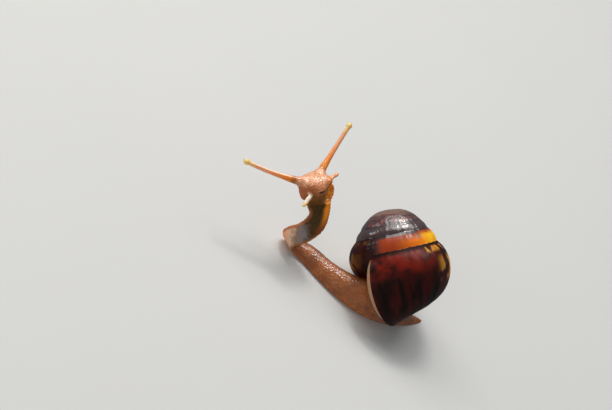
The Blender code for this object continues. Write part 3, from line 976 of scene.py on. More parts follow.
@dataclass
class Skin:
    """All the flesh in one closed surface, with its grain and the marks of its parts."""

    body: Body
    head: Head
    tentacles: list[Tentacle]
    mantle: Mantle
    voxel: float = 0.33
    even_rounds: int = 6
    smoothing: float = 0.5
    recovery: float = 0.52
    fillet_rounds: int = 70
    fillet_share: float = 1.4
    neck_reach: float = 5.0
    ledge_reach: float = 2.2
    row_size: Triple = (2.0, 1.15, 1.15)
    row_depth: float = 0.26
    bead_edge: float = 0.55
    grain_size: float = 1.0
    grain_depth: float = 0.24
    fold_length: float = 1.3
    fold_depth: float = 0.10
    furrow_rise: float = 2.9
    furrow_width: float = 0.35
    furrow_depth: float = 0.30
    furrow_ends: Pair = (118.0, 108.0)
    ledge_depth: float = 0.35
    stalk_rings: int = 38
    feeler_rings: int = 14
    ring_depth: float = 0.02
    # The way that the stalks' faces turn where they take a painted highlight.
    stalk_highlight_way: Triple = (-0.30, 0.30, 0.91)
    mouth_up: float = -0.4
    mouth_half_width: float = 0.27
    mouth_half_height: float = 0.06
    mouth_bend: float = 0.25
    mouth_depth: float = 0.9
    lip_height: float = 0.28
    chin_along: float = 128.4
    chin_side: float = -0.05
    chin_reach: float = 3.6
    chin_swell: float = 1.9

    def fuse(self) -> bpy.types.Mesh:
        """Joins the closed lofts and rebuilds them as one surface of small squares."""
        lofts = [self.body.loft(), self.head.loft(), self.mantle.loft()]
        lofts += [tentacle.loft() for tentacle in self.tentacles]
        points, faces = [], []
        first = 0
        for loft in lofts:
            points.append(loft.points())
            faces += loft.faces(first)
            first += len(points[-1])
        mesh = bpy.data.meshes.new("lump")
        mesh.from_pydata(np.vstack(points).tolist(), [], faces)
        lump = add_object("lump", mesh)
        remesh = lump.modifiers.new("fuse", "REMESH")
        remesh.mode = "VOXEL"
        remesh.voxel_size = self.voxel
        graph = bpy.context.evaluated_depsgraph_get()
        fused = bpy.data.meshes.new_from_object(lump.evaluated_get(graph), depsgraph=graph)
        bpy.data.objects.remove(lump)
        bpy.data.meshes.remove(mesh)
        return fused

    def relax(self, points: Array, edges: Array) -> Array:
        """Evens the voxel steps out, and fills the creases where parts meet.

        Each round moves a point half way to its neighbours' mean. Even rounds move it
        back a little more, so that slender parts keep their thickness. Fillet rounds
        count only near the tentacles' roots and where the head meets the neck.

        Args:
            points: The skin's points.
            edges: Pairs of point numbers.

        Returns:
            The points, moved.
        """
        for _ in range(self.even_rounds):
            points = points + self.smoothing * (neighbour_mean(points, edges) - points)
            points = points - self.recovery * (neighbour_mean(points, edges) - points)
        crease = np.zeros(len(points))
        for tentacle in self.tentacles:
            make = tentacle.kind.value
            exit_point = tentacle.root + make.way_out * unit(tentacle.tip - tentacle.root)
            distance = np.linalg.norm(points - exit_point, axis=1)
            share, weight = tentacle.nearness(points)
            stem = weight * smooth_step(*make.fillet_ends, share)
            root = hill(distance, 0, self.fillet_share * make.root_radius)
            crease = np.maximum(crease * (1 - stem), root * (1 - stem))
        head_gap = self.head_gap(points)
        place = self.body.place(points)
        neck = hill(place.along, self.body.distances[-1] - 3.5, self.neck_reach)
        crease = np.maximum(crease, neck * hill(head_gap, 0.5, 2.2))
        ledge = hill(place.along, self.body.station(self.body.edge_station), self.ledge_reach)
        corner = smooth_step(0.55, 0.8, np.abs(place.across) / place.half)
        crease = np.maximum(crease, ledge * corner)
        crease = smooth_step(0.15, 0.8, crease)[:, None]
        for _ in range(self.fillet_rounds):
            points = points + self.smoothing * crease * (neighbour_mean(points, edges) - points)
        return points

    def head_gap(self, points: Array) -> Array:
        """Gives how far points are outside the head's own face.

        Args:
            points: Points of the skin.

        Returns:
            Millimetres, which are less than 0 inside.
        """
        local = self.head.local(points)
        length = np.linalg.norm(local, axis=1)
        return length - self.head.reach(local / np.maximum(length, 1e-6)[:, None])

    def grain(self, places: Array, seed: int, depth: float) -> Grain:
        """Raises a round bead in each cell, with a groove between cells.

        Args:
            places: Points, in cells.
            seed: The pattern's number.
            depth: Millimetres from the groove to the bead's top.

        Returns:
            The beads at each point.
        """
        cells = cell_pattern(places, seed)
        bead = 1 - (1 - np.clip(cells.wall / self.bead_edge, 0, 1)) ** 2.2
        return Grain(depth * (bead - 0.7), 1 - bead, cells.tone)

    def build(self) -> bpy.types.Object:
        """Makes the skin with its marks."""
        fused = self.fuse()
        count = len(fused.vertices)
        points = np.empty(count * 3)
        fused.vertices.foreach_get("co", points)
        edges = np.empty(len(fused.edges) * 2, np.int64)
        fused.edges.foreach_get("vertices", edges)
        edges = edges.reshape(-1, 2)
        points = self.relax(points.reshape(-1, 3), edges)
        fused.vertices.foreach_set("co", points.reshape(-1))
        fused.update()
        normals = np.empty(count * 3)
        fused.vertex_normals.foreach_get("vector", normals)
        normals = normals.reshape(-1, 3)
        rise, marks = self.detail(points)
        # Painted highlight: the stalks' faces that turn up towards the light are marked to be painted pale.
        marks["stalk_highlight"] = marks["on_stalk"] * smooth_step(0.5, 0.9, normals @ unit(self.stalk_highlight_way))
        points = points + normals * rise[:, None]
        points[:, 2] = np.maximum(points[:, 2], 0.02)
        faces = [list(face.vertices) for face in fused.polygons]
        bpy.data.meshes.remove(fused)
        return add_surface("skin", points, faces, marks)

    def tentacle_weights(self, points: Array) -> tuple[dict[Kind, Array], dict[Kind, Array]]:
        """Tells how far along a tentacle of each kind points are, and how much on it.

        Args:
            points: Points of the skin.

        Returns:
            The shares along and the weights, by kind.
        """
        shares = {kind: np.zeros(len(points)) for kind in Kind}
        weights = {kind: np.zeros(len(points)) for kind in Kind}
        for tentacle in self.tentacles:
            kind = tentacle.kind
            share, weight = tentacle.nearness(points)
            weight = weight * smooth_step(*kind.value.skin_starts, share)
            shares[kind] = np.where(weight > weights[kind], share, shares[kind])
            weights[kind] = np.maximum(weights[kind], weight)
        return shares, weights

    def rings(self, shares: dict[Kind, Array], weights: dict[Kind, Array]) -> Array:
        """Gives the low rings round the tentacles, sines of the share along that fade towards the tips.

        Args:
            shares: How far along a tentacle each point is, by kind.
            weights: How much each point is on a tentacle, by kind.

        Returns:
            How far each point rises.
        """
        stalk, feeler = shares[Kind.EYE_STALK], shares[Kind.FEELER]
        stalk_rings = np.sin(2 * math.pi * stalk * self.stalk_rings + 1.5 * np.sin(stalk * 51))
        feeler_rings = np.sin(2 * math.pi * feeler * self.feeler_rings)
        on_stalk = weights[Kind.EYE_STALK] * smooth_step(0.75, 0.25, stalk)
        on_feeler = weights[Kind.FEELER] * smooth_step(0.8, 0.4, feeler)
        return self.ring_depth * (on_stalk * stalk_rings + on_feeler * feeler_rings)

    def foot_marks(self, place: BodyPlace, lift: Array, on_body: Array) -> Marks:
        """Marks the places on the body, its underside, the rim above it and the foot's front edge.

        Args:
            place: Where the points lie on the body.
            lift: How far they are above the sole.
            on_body: A weight that is 1 on the body's own face.

        Returns:
            The named marks.
        """
        side = place.across / place.half
        front = self.body.station(self.body.edge_station)
        under = smooth_step(1.1, 0.35, lift) * smooth_step(front + 0.9, front - 0.3, place.along) * on_body
        strip = under * smooth_step(1.0, 0.62, np.abs(side))
        return {
            "along": place.along,
            "side": side,
            "under": under,
            "strip": strip,
            "rim": smooth_step(4.0, 1.2, lift) * (1 - strip) * on_body,
            "front": smooth_step(4.5, 2.5, lift) * on_body * hill(place.along, front, 1.5),
        }

    def foot_relief(self, place: BodyPlace, lift: Array, strip: Array) -> Array:
        """Gives the fringe of folds above the sole, the furrow over it and the groove under the ledge.

        Args:
            place: Where the points lie on the body.
            lift: How far they are above the sole.
            strip: A weight that is 1 on the sole.

        Returns:
            How far each point rises.
        """
        front = self.body.station(self.body.edge_station)
        fringe = smooth_step(2.6, 1.4, lift) * smooth_step(0.1, 0.8, lift) * (1 - strip)
        folds = np.sin(2 * math.pi * place.along / self.fold_length + 2 * np.sin(place.along / 3.1))
        furrow = hill(lift, self.furrow_rise, self.furrow_width)
        furrow = furrow * smooth_step(*self.furrow_ends, place.along)
        ledge = hill(place.along, front + 0.5, 0.45) * smooth_step(2.5, 0.5, lift)
        return self.fold_depth * fringe * folds - self.furrow_depth * furrow - self.ledge_depth * ledge

    def face_marks(self, ways: Array, on_face: Array) -> Marks:
        """Marks the crown, the snout, the right cheek for painted shade and the left cheek for painted light
        by their direction from the head's centre.

        Args:
            ways: Unit directions in the head's axes.
            on_face: A weight that is 1 on the head's own face.

        Returns:
            The named marks.
        """
        right, up, forward = ways.T
        snout = smooth_step(-0.32, -0.5, up) * smooth_step(0.0, 0.35, forward)
        return {
            "head": on_face,
            "crown": on_face * smooth_step(-0.15, 0.35, up),
            "snout": on_face * snout * smooth_step(0.75, 0.5, np.abs(right)),
            "right_cheek_shade": on_face * smooth_step(0.15, 0.6, right) * smooth_step(0.45, -0.15, up),
            "left_cheek_light": on_face * smooth_step(-0.35, -0.7, right) * smooth_step(0.35, -0.05, up),
        }

    def detail(self, points: Array) -> tuple[Array, Marks]:
        """Works out the relief and the marks of every part.

        Args:
            points: The smooth skin's points.

        Returns:
            How far each point rises along its normal, and the named marks.
        """
        place = self.body.place(points)
        local = self.head.local(points)
        ways = unit(local)
        on_head = smooth_step(1.8, 0.4, self.head_gap(points)) * smooth_step(-7.5, -3.5, local[:, 2])
        on_mantle = self.mantle.nearness(points) * (1 - on_head)
        shares, weights = self.tentacle_weights(points)
        on_stalk, on_feeler = weights[Kind.EYE_STALK], weights[Kind.FEELER]
        bare = 1 - np.maximum(on_stalk, on_feeler)
        lift = place.rise - self.body.sole_rise(place.along)
        on_body = (1 - on_head) * bare * (1 - on_mantle)
        marks = self.foot_marks(place, lift, on_body) | self.face_marks(ways, on_head * bare)
        chin = hill(np.linalg.norm(points - self.chin(), axis=1), 0, self.chin_reach)
        mouth = self.mouth(ways) * on_head
        roughness = bare * (1 - 0.8 * marks["strip"]) * (1 - 0.65 * on_mantle)
        rise, groove, tone = self.relief(place, local, on_head, roughness)
        rise += on_body * self.foot_relief(place, lift, marks["strip"])
        rise += self.chin_swell * chin - self.mouth_depth * mouth + self.rings(shares, weights)
        rise += self.lip_height * on_head * (self.mouth(ways, 1.35, 2.6) - self.mouth(ways, 1.1, 1.4))
        marks |= {
            "groove": groove,
            "tone": tone,
            "mouth": mouth,
            "stalk": on_stalk * shares[Kind.EYE_STALK],
            "on_stalk": on_stalk,
            "feeler": on_feeler * shares[Kind.FEELER],
            "on_feeler": on_feeler,
            "warm_feeler": on_feeler * smooth_step(-2.0, -4.0, local[:, 0]),
            "chin": smooth_step(0.1, 0.55, chin),
            "mantle": on_mantle * bare,
        }
        return rise, marks

    def chin(self) -> Array:
        """Gives the middle of the chin, the round pad between the mouth and the sole's front edge."""
        along = np.array([self.chin_along])
        body = self.body
        across = self.chin_side * body.read(along, body.half) * unit(body.read(along, body.rights))[0]
        return body.read(along, body.line)[0] + across + body.edge_step * unit(body.read(along, body.ups))[0]

    def mouth(self, ways: Array, wider: float = 1.0, higher: float = 1.0) -> Array:
        """Gives a weight that is 1 in the mouth, a slit with round ends.

        The weight is e to the minus fourth power of the way across in half widths,
        less the square of the way up in half heights.

        Args:
            ways: Unit directions in the head's axes.
            wider: A factor on the slit's width.
            higher: A factor on its height.

        Returns:
            A weight for each direction.
        """
        across = (ways[:, 0] / (self.mouth_half_width * wider)) ** 4
        middle = self.mouth_up + self.mouth_bend * ways[:, 0] ** 2
        above = ((ways[:, 1] - middle) / (self.mouth_half_height * higher)) ** 2
        return np.exp(-across - above) * (ways[:, 2] > 0)

    def relief(self, place: BodyPlace, local: Array, on_head: Array, roughness: Array) -> Grain:
        """Grains the skin: long beads in rows on the body, and small round ones on the head.

        Args:
            place: Where the points lie on the body.
            local: The points in the head's axes.
            on_head: A weight that is 1 on the head.
            roughness: How strong the grain is at each point.

        Returns:
            The beads at each point.
        """
        cells = np.stack([place.along, place.across, place.rise], axis=-1) / self.row_size
        body = self.grain(cells, 5, self.row_depth)
        head = self.grain(local / self.grain_size, 9, self.grain_depth)
        rise, groove, tone = ((1 - on_head) * ours + on_head * theirs for ours, theirs in zip(body, head))
        return Grain(roughness * rise, roughness * groove, tone)


@dataclass
class Eye:
    """A small round eye at the tip of an upper tentacle."""

    tentacle: Tentacle
    looks: Triple
    radius: float = 0.72
    sunk: float = 0.62
    any_way: Triple = (0.3, 0.8, 0.1)
    sides: int = 48
    rings: int = 24

    def build(self) -> bpy.types.Object:
        """Makes the eye, a ball whose pole faces the way it looks."""
        way = unit(self.tentacle.tip - self.tentacle.root)
        centre = self.tentacle.tip - self.sunk * way
        pole = unit(self.looks)
        wide = unit(np.cross(pole, self.any_way))
        around = np.linspace(0, 2 * math.pi, self.sides, endpoint=False)[None, :, None]
        polar = math.pi * np.linspace(0, 1, self.rings + 1)[1:-1][:, None, None]
        circle = np.cos(around) * wide + np.sin(around) * np.cross(pole, wide)
        rings = centre + self.radius * (np.sin(polar) * circle + np.cos(polar) * pole)
        loft = Loft(rings, centre + self.radius * pole, centre - self.radius * pole)
        pupil = np.concatenate([np.repeat(np.cos(polar).reshape(-1), self.sides), [1, -1]])
        name = f"eye_bead_{self.tentacle.side}"
        piece = add_surface(name, loft.points(), loft.faces(0), {"pupil": pupil})
        close_poles(piece.data)
        return piece


Operand = "Field | float | int | Triple"


class Field:
    """A socket of a material that takes part in sums and products as a number does."""

    def __init__(self, dye: "Dye", socket: bpy.types.NodeSocket) -> None:
        """Wraps a node's output."""
        self.dye = dye
        self.socket = socket

    def _math(self, operation: str, *operands: Operand) -> "Field":
        """Adds a Math node."""
        node = self.dye.node("ShaderNodeMath", {"operation": operation}, dict(enumerate(operands)))
        return Field(self.dye, node.outputs[0])

    def __add__(self, other: Operand) -> "Field":
        """Adds."""
        return self._math("ADD", self, other)

    __radd__ = __add__

    def __sub__(self, other: Operand) -> "Field":
        """Takes away."""
        return self._math("SUBTRACT", self, other)

    def __rsub__(self, other: Operand) -> "Field":
        """Is taken away."""
        return self._math("SUBTRACT", other, self)

    def __mul__(self, other: Operand) -> "Field":
        """Multiplies."""
        return self._math("MULTIPLY", self, other)

    __rmul__ = __mul__

    def step(self, low: float, high: float) -> "Field":
        """Runs smoothly from 0 to 1 as the value goes from low to high, which may be lower.

        Args:
            low: Where the result is 0.
            high: Where the result is 1.

        Returns:
            The step.
        """
        settings = {"interpolation_type": "SMOOTHSTEP"}
        start, stop = (low, high) if low < high else (high, low)
        sockets = {"Value": self, "From Min": start, "From Max": stop}
        field = Field(self.dye, self.dye.node("ShaderNodeMapRange", settings, sockets).outputs[0])
        return field if low < high else 1 - field

    def mix(self, first: Operand, second: Operand) -> "Field":
        """Mixes two colours by this field.

        Args:
            first: The colour where the field is 0.
            second: The colour where the field is 1.

        Returns:
            The mixed colour.
        """
        settings = {"data_type": "RGBA"}
        sockets = {MIX_FACTOR: self, MIX_FIRST: first, MIX_SECOND: second}
        return Field(self.dye, self.dye.node("ShaderNodeMix", settings, sockets).outputs[MIX_RESULT])


class Dye:
    """A material and the few calls that build its nodes."""

    def __init__(self, name: str) -> None:
        """Starts a material with an empty Principled shader."""
        self.material = bpy.data.materials.new(name)
        self.material.use_nodes = True
        self.tree = self.material.node_tree
        self.shader = self.tree.nodes["Principled BSDF"]

    def put(self, socket: bpy.types.NodeSocket, value: Operand) -> None:
        """Links a field to a socket, or sets the socket's own value."""
        if isinstance(value, Field):
            self.tree.links.new(value.socket, socket)
        elif isinstance(value, tuple) and socket.type == "RGBA":
            socket.default_value = (*value, 1.0)
        else:
            socket.default_value = value

    def node(
        self, kind: str, settings: dict[str, object], sockets: dict[object, Operand]
    ) -> bpy.types.Node:
        """Adds a node.

        Args:
            kind: The node's type.
            settings: Its own settings, which are set first.
            sockets: Values or links, by the input's name or number.

        Returns:
            The node.
        """
        node = self.tree.nodes.new(kind)
        for setting, value in settings.items():
            setattr(node, setting, value)
        for key, value in sockets.items():
            self.put(node.inputs[key], value)
        return node

    def mark(self, name: str) -> Field:
        """Reads a mark of the mesh."""
        return Field(self, self.node("ShaderNodeAttribute", {"attribute_name": name}, {}).outputs["Fac"])

    def place(self) -> Field:
        """Reads the place in the object, in metres."""
        return Field(self, self.node("ShaderNodeTexCoord", {}, {}).outputs["Object"])

    def join(self, x: Operand, y: Operand, z: Operand) -> Field:
        """Makes a vector of three numbers."""
        return Field(self, self.node("ShaderNodeCombineXYZ", {}, {"X": x, "Y": y, "Z": z}).outputs[0])

    def noise(self, vector: Field, scale: float, detail: float = 3.0, distortion: float = 0.0) -> Field:
        """Gives a soft noise from about 0.3 to 0.7."""
        sockets = {"Vector": vector, "Scale": scale, "Detail": detail, "Distortion": distortion}
        return Field(self, self.node("ShaderNodeTexNoise", {}, sockets).outputs["Fac"])

    def bump(self, height: Field, distance: float, strength: float = 1.0) -> Field:
        """Turns a height into a normal."""
        sockets = {"Height": height, "Distance": distance, "Strength": strength}
        return Field(self, self.node("ShaderNodeBump", {}, sockets).outputs["Normal"])

    def dress(self, piece: bpy.types.Object, sockets: dict[str, Operand]) -> None:
        """Fills in the Principled shader and gives the material to a piece.

        Args:
            piece: The object that takes the material.
            sockets: Values or links, by the shader's input.
        """
        for key, value in sockets.items():
            self.put(self.shader.inputs[key], value)
        piece.data.materials.clear()
        piece.data.materials.append(self.material)


@dataclass(frozen=True)
class SkinFinish:
    """Moist, grained, slightly translucent flesh."""

    tan: Triple = (0.42, 0.16, 0.055)
    # Umber: the back's own mottling and the rim's deep patches, and the painted shade on one flank of the
    # neck.
    umber: Triple = (0.20, 0.075, 0.028)
    peach: Triple = (0.78, 0.31, 0.13)
    pale: Triple = (0.92, 0.56, 0.36)
    # Rust: the grooves' colour, and the painted shade on the right cheek.
    rust: Triple = (0.34, 0.078, 0.010)
    # Orange: the neck's and stalks' own colour, and the painted light on the left cheek.
    orange: Triple = (0.82, 0.24, 0.010)
    # Painted light: the bright and the deeper orange of light shining through one flank of the neck.
    flank_light_orange: Triple = (1.0, 0.33, 0.012)
    flank_light_deep: Triple = (0.22, 0.050, 0.003)
    # Painted shade: the dark green-brown of the sole under the raised neck and below the chin.
    olive_shade: Triple = (0.050, 0.032, 0.002)
    moss: Triple = (0.25, 0.115, 0.010)
    # Cream: the feelers' own colour, and the painted highlight on the stalks' upward faces.
    cream: Triple = (0.92, 0.78, 0.64)
    honey: Triple = (0.93, 0.62, 0.20)
    yellow: Triple = (0.95, 0.56, 0.10)
    pink: Triple = (0.88, 0.40, 0.20)
    grey: Triple = (0.25, 0.215, 0.215)
    # Painted shadow: the dark band across the sole.
    shade: Triple = (0.11, 0.075, 0.035)
    # Amber: partly the fringe's own tone, partly a painted glow of light through its thin edge.
    amber: Triple = (0.50, 0.15, 0.018)
    beige: Triple = (0.76, 0.50, 0.34)
    collar: Triple = (0.42, 0.26, 0.15)
    blood: Triple = (0.07, 0.004, 0.002)

    def under_foot(self, dye: Dye) -> Field:
        """Colours the sole along its length: pink, beige, a dark band of painted shadow, grey, then dark
        green-brown painted shade to the head.

        Args:
            dye: The skin's material.

        Returns:
            The sole's colour.
        """
        along = dye.mark("along") + dye.noise(dye.place(), 420.0) * 10.0 - 5.0
        slant = along - dye.mark("side") * 4.5
        colour = slant.step(91.0, 98.5).mix(self.pink, self.beige)
        # Painted shadow: a dark band across the sole.
        colour = (slant.step(97.0, 103.0) * 0.75).mix(colour, self.shade)
        colour = slant.step(101.0, 106.0).mix(colour, self.grey)
        # Painted shade: the sole turns dark green-brown under the raised neck.
        return slant.step(104.5, 112.0).mix(colour, self.olive_shade)

    def back_and_sole(self, dye: Dye) -> Field:
        """Colours the foot and neck: a mottled back, the rim with a partly painted glow, the sole with
        painted shade and a painted shadow, a flank with painted light and one with painted shade.

        Args:
            dye: The skin's material.

        Returns:
            The body's colour.
        """
        along, side, head = dye.mark("along"), dye.mark("side"), dye.mark("head")
        patches = dye.noise(dye.place(), 110.0)
        colour = patches.step(0.38, 0.62).mix(self.umber, self.tan)
        colour = along.step(114.0, 126.0).mix(colour, self.orange)
        colour = head.mix(colour, self.peach)
        # The rim above the sole: amber patches, partly the fringe's own tone, partly a painted glow of light
        # through its thin edge.
        glow = patches.step(0.3, 0.6).mix(self.umber, self.amber)
        colour = (dye.mark("rim") * 0.75).mix(colour, glow)
        colour = dye.mark("strip").mix(colour, self.under_foot(dye))
        # Painted light: one flank of the neck turns bright orange where light shines through it.
        flank_light = along.step(113.0, 123.0).mix(self.flank_light_deep, self.flank_light_orange)
        colour = (along.step(110.0, 114.0) * side.step(-0.15, -0.65) * (1 - head)).mix(colour, flank_light)
        # Painted shade: the other flank of the neck is darkened towards umber.
        flank_shade = along.step(110.0, 113.0) * along.step(134.0, 127.0) * side.step(0.62, 0.85) * (1 - head)
        return (flank_shade * 0.8).mix(colour, self.umber)

    def head_and_chin(self, dye: Dye, colour: Field) -> Field:
        """Lays the head's colours over the body's, with painted shade on the right cheek and under the chin
        and painted light on the left cheek, then those of the collar, grooves and beads.

        Args:
            dye: The skin's material.
            colour: The colour so far.

        Returns:
            The colour with them.
        """
        groove, tone, crown, head = (dye.mark(name) for name in ("groove", "tone", "crown", "head"))
        colour = (crown * 0.3).mix(colour, self.pale)
        # Painted shade: rust on the right cheek, under the right stalk. Painted light: bright orange on the
        # left cheek, where light shines through.
        colour = (dye.mark("right_cheek_shade") * 0.8).mix(colour, self.rust)
        colour = (dye.mark("left_cheek_light") * 0.95).mix(colour, self.orange)
        colour = (dye.mark("snout") * 0.9).mix(colour, self.moss)
        # The chin pad's own moss brown, with painted shade in dark green-brown below it by the sole's front
        # edge.
        chin = (dye.mark("front") + dye.mark("chin")).step(0.0, 0.8) * dye.mark("side").step(-0.62, -0.25)
        colour = chin.mix(colour, dye.mark("along").step(125.6, 128.6).mix(self.olive_shade, self.moss))
        colour = dye.mark("mantle").mix(colour, self.collar)
        colour = (groove * (0.55 + 0.2 * (1 - head))).mix(colour, self.rust)
        return (tone.step(0.2, 0.7) * (1 - groove) * crown * 0.75).mix(colour, self.pale)

    def tentacles_and_mouth(self, dye: Dye, colour: Field) -> Field:
        """Lays the eye stalks' and feelers' colours, with a painted highlight on the stalks' upward faces,
        over the rest, then the mouth's.

        Args:
            dye: The skin's material.
            colour: The colour so far.

        Returns:
            The colour with them.
        """
        colour = dye.mark("on_stalk").mix(colour, self.orange)
        colour = dye.mark("stalk").step(0.2, 0.7).mix(colour, self.pink)
        # Painted highlight: cream on the stalks' upward faces.
        colour = (dye.mark("stalk_highlight") * 0.8).mix(colour, self.cream)
        colour = dye.mark("stalk").step(0.75, 0.95).mix(colour, self.honey)
        colour = dye.mark("on_feeler").mix(colour, self.cream)
        colour = dye.mark("feeler").step(0.75, 0.98).mix(colour, self.yellow)
        colour = dye.mark("warm_feeler").mix(colour, self.pink)
        return dye.mark("mouth").step(0.2, 0.7).mix(colour, self.blood)

    def dress(self, piece: bpy.types.Object) -> None:
        """Colours the skin by the marks of its parts.

        Args:
            piece: The skin.
        """
        dye = Dye("skin")
        colour = self.head_and_chin(dye, self.back_and_sole(dye))
        fine = dye.noise(dye.place(), 1800.0, 2.0)
        dye.dress(
            piece,
            {
                "Base Color": self.tentacles_and_mouth(dye, colour),
                "Roughness": 0.30 + dye.mark("groove") * 0.25,
                "Normal": dye.bump(fine, 0.00012, 0.6),
                "Subsurface Weight": 0.5,
                "Subsurface Radius": (1.0, 0.36, 0.14),
                "Subsurface Scale": 0.0024,
                "Coat Weight": 0.75 - dye.mark("under").step(0.0, 0.5) * 0.6 - dye.mark("front") * 0.6,
                "Coat Roughness": 0.12,
                "IOR": 1.4,
            },
        )


@dataclass(frozen=True)
class ShellFinish:
    """Glossy dark maroon shell with an orange band and a red patch, both partly a painted glow of light
    through the shell, flames and growth lines.
    """

    maroon: Triple = (0.045, 0.003, 0.001)
    umber: Triple = (0.008, 0.002, 0.001)
    # Red: partly the shell's own red, partly a painted glow of light through the shell near the lip.
    red: Triple = (0.17, 0.008, 0.001)
    brick: Triple = (0.33, 0.045, 0.009)
    amber: Triple = (0.50, 0.17, 0.012)
    gold: Triple = (0.80, 0.37, 0.04)
    orange: Triple = (0.85, 0.20, 0.006)
    # Yellow: a painted glow of light through the shell, in the band's core.
    yellow: Triple = (1.0, 0.50, 0.008)
    plum: Triple = (0.060, 0.030, 0.034)
    horn: Triple = (0.20, 0.11, 0.08)
    pearl: Triple = (0.20, 0.125, 0.09)

    def band(self, dye: Dye, streaks: Field, lines: Field) -> tuple[Field, Field]:
        """Gives how much of the orange band shows, and its colour, with a painted glow in its yellow core.

        It starts brick red a turn back from the lip, and turns orange, then yellow.
        Dark streaks break its upper edge.

        Args:
            dye: The shell's material.
            streaks: A noise drawn out along the growth lines.
            lines: A finer one.

        Returns:
            The share and the colour.
        """
        growth, across = dye.mark("growth"), dye.mark("across")
        dark = streaks.step(0.50, 0.60) * across.step(0.8, 0.4) * growth.step(1.08, 1.2) * 0.85
        share = dye.mark("band").step(0.1, 0.9) * (1 - dark)
        colour = (growth.step(1.07, 1.19) * across.step(0.3, 0.7)).mix(self.brick, self.orange)
        # Painted glow: the band's core turns yellow where light shines through the shell.
        core = growth.step(1.17, 1.25) * across.step(0.15, 0.5) * (streaks + lines * 0.5).step(1.0, 0.66)
        return share, core.mix(colour, self.yellow)

    def dress(self, piece: bpy.types.Object) -> None:
        """Colours the shell by growth and by the distance from the suture above.

        Args:
            piece: The shell.
        """
        dye = Dye("shell")
        place = dye.place()
        growth, across, mouth = (dye.mark(name) for name in ("growth", "across", "mouth"))
        streaks = dye.noise(dye.join(growth * 34.0, across * 0.8, 0.0), 1.0, 4.0, 0.6)
        lines = dye.noise(dye.join(growth * 210.0, across * 0.7, 3.0), 1.0, 3.0)
        clouds = dye.noise(place, 140.0, 2.0)
        colour = streaks.step(0.38, 0.62).mix(self.umber, self.maroon)
        # Red near the lip, below the suture: partly the shell's own red, partly a painted glow of light
        # through the shell.
        glow = across.step(0.1, 0.3) * across.step(1.15, 0.7) * growth.step(0.27, 0.12)
        colour = (glow * clouds.step(0.25, 0.6)).mix(colour, self.red)
        flames = dye.noise(dye.join(growth * 26.0, across * 1.1, 7.0), 1.0, 2.0, 0.7)
        shine = lines.step(0.3, 0.7).mix(self.amber, self.gold)
        colour = (dye.mark("gold") * flames.step(0.47, 0.57)).mix(colour, shine)
        colour = (growth.step(1.0, 1.04) * (0.6 + 0.4 * streaks)).mix(colour, self.plum)
        share, glowing = self.band(dye, streaks, lines)
        colour = share.mix(colour, glowing)
        colour = (growth.step(2.3, 3.0) * flames.step(0.5, 0.6) * 0.4).mix(colour, self.brick)
        colour = (growth + clouds).step(4.3, 5.3).mix(colour, self.horn)
        colour = across.step(0.13, 0.07).mix(colour, self.umber)
        colour = mouth.mix(colour, self.pearl)
        pits = dye.noise(place, 1100.0, 2.0)
        rough = growth.step(0.95, 1.05) * (1 - share)
        height = lines * 0.5 + streaks * 0.4 + pits * (0.15 + rough * 0.85)
        fine = dye.noise(place, 2500.0, 2.0)
        dye.dress(
            piece,
            {
                "Base Color": colour,
                "Roughness": 0.42 + fine * 0.2 + mouth * 0.2,
                "Normal": dye.bump(height, 0.00034, 1.0),
                "Coat Weight": across.step(0.05, 0.5) * 0.12 + rough * (0.5 + clouds * 0.6) - mouth * 0.1,
                "Coat Roughness": 0.25,
                "Coat IOR": 1.8,
                "IOR": 1.2,
                "Subsurface Weight": 0.12,
                "Subsurface Radius": (1.0, 0.25, 0.05),
                "Subsurface Scale": 0.002,
            },
        )


@dataclass(frozen=True)
class EyeFinish:
    """A dark glossy pupil in a cream bead."""

    dark: Triple = (0.010, 0.006, 0.005)
    cream: Triple = (0.86, 0.60, 0.32)

    def dress(self, piece: bpy.types.Object) -> None:
        """Colours an eye by how far round it is from the way it looks.

        Args:
            piece: The eye.
        """
        dye = Dye("eye")
        colour = dye.mark("pupil").step(0.35, 0.5).mix(self.cream, self.dark)
        coat = {"Coat Weight": 0.5, "Coat Roughness": 0.05}
        dye.dress(piece, {"Base Color": colour, "Roughness": 0.12} | coat)


@dataclass(frozen=True)
class SoftBox:
    """A soft light: where it stands by the picture's right, up and towards the camera."""

    name: str
    way: Triple
    distance: float
    width: float
    height: float
    power: float
    colour: Triple = (1.0, 0.98, 0.95)
    glints: bool = True


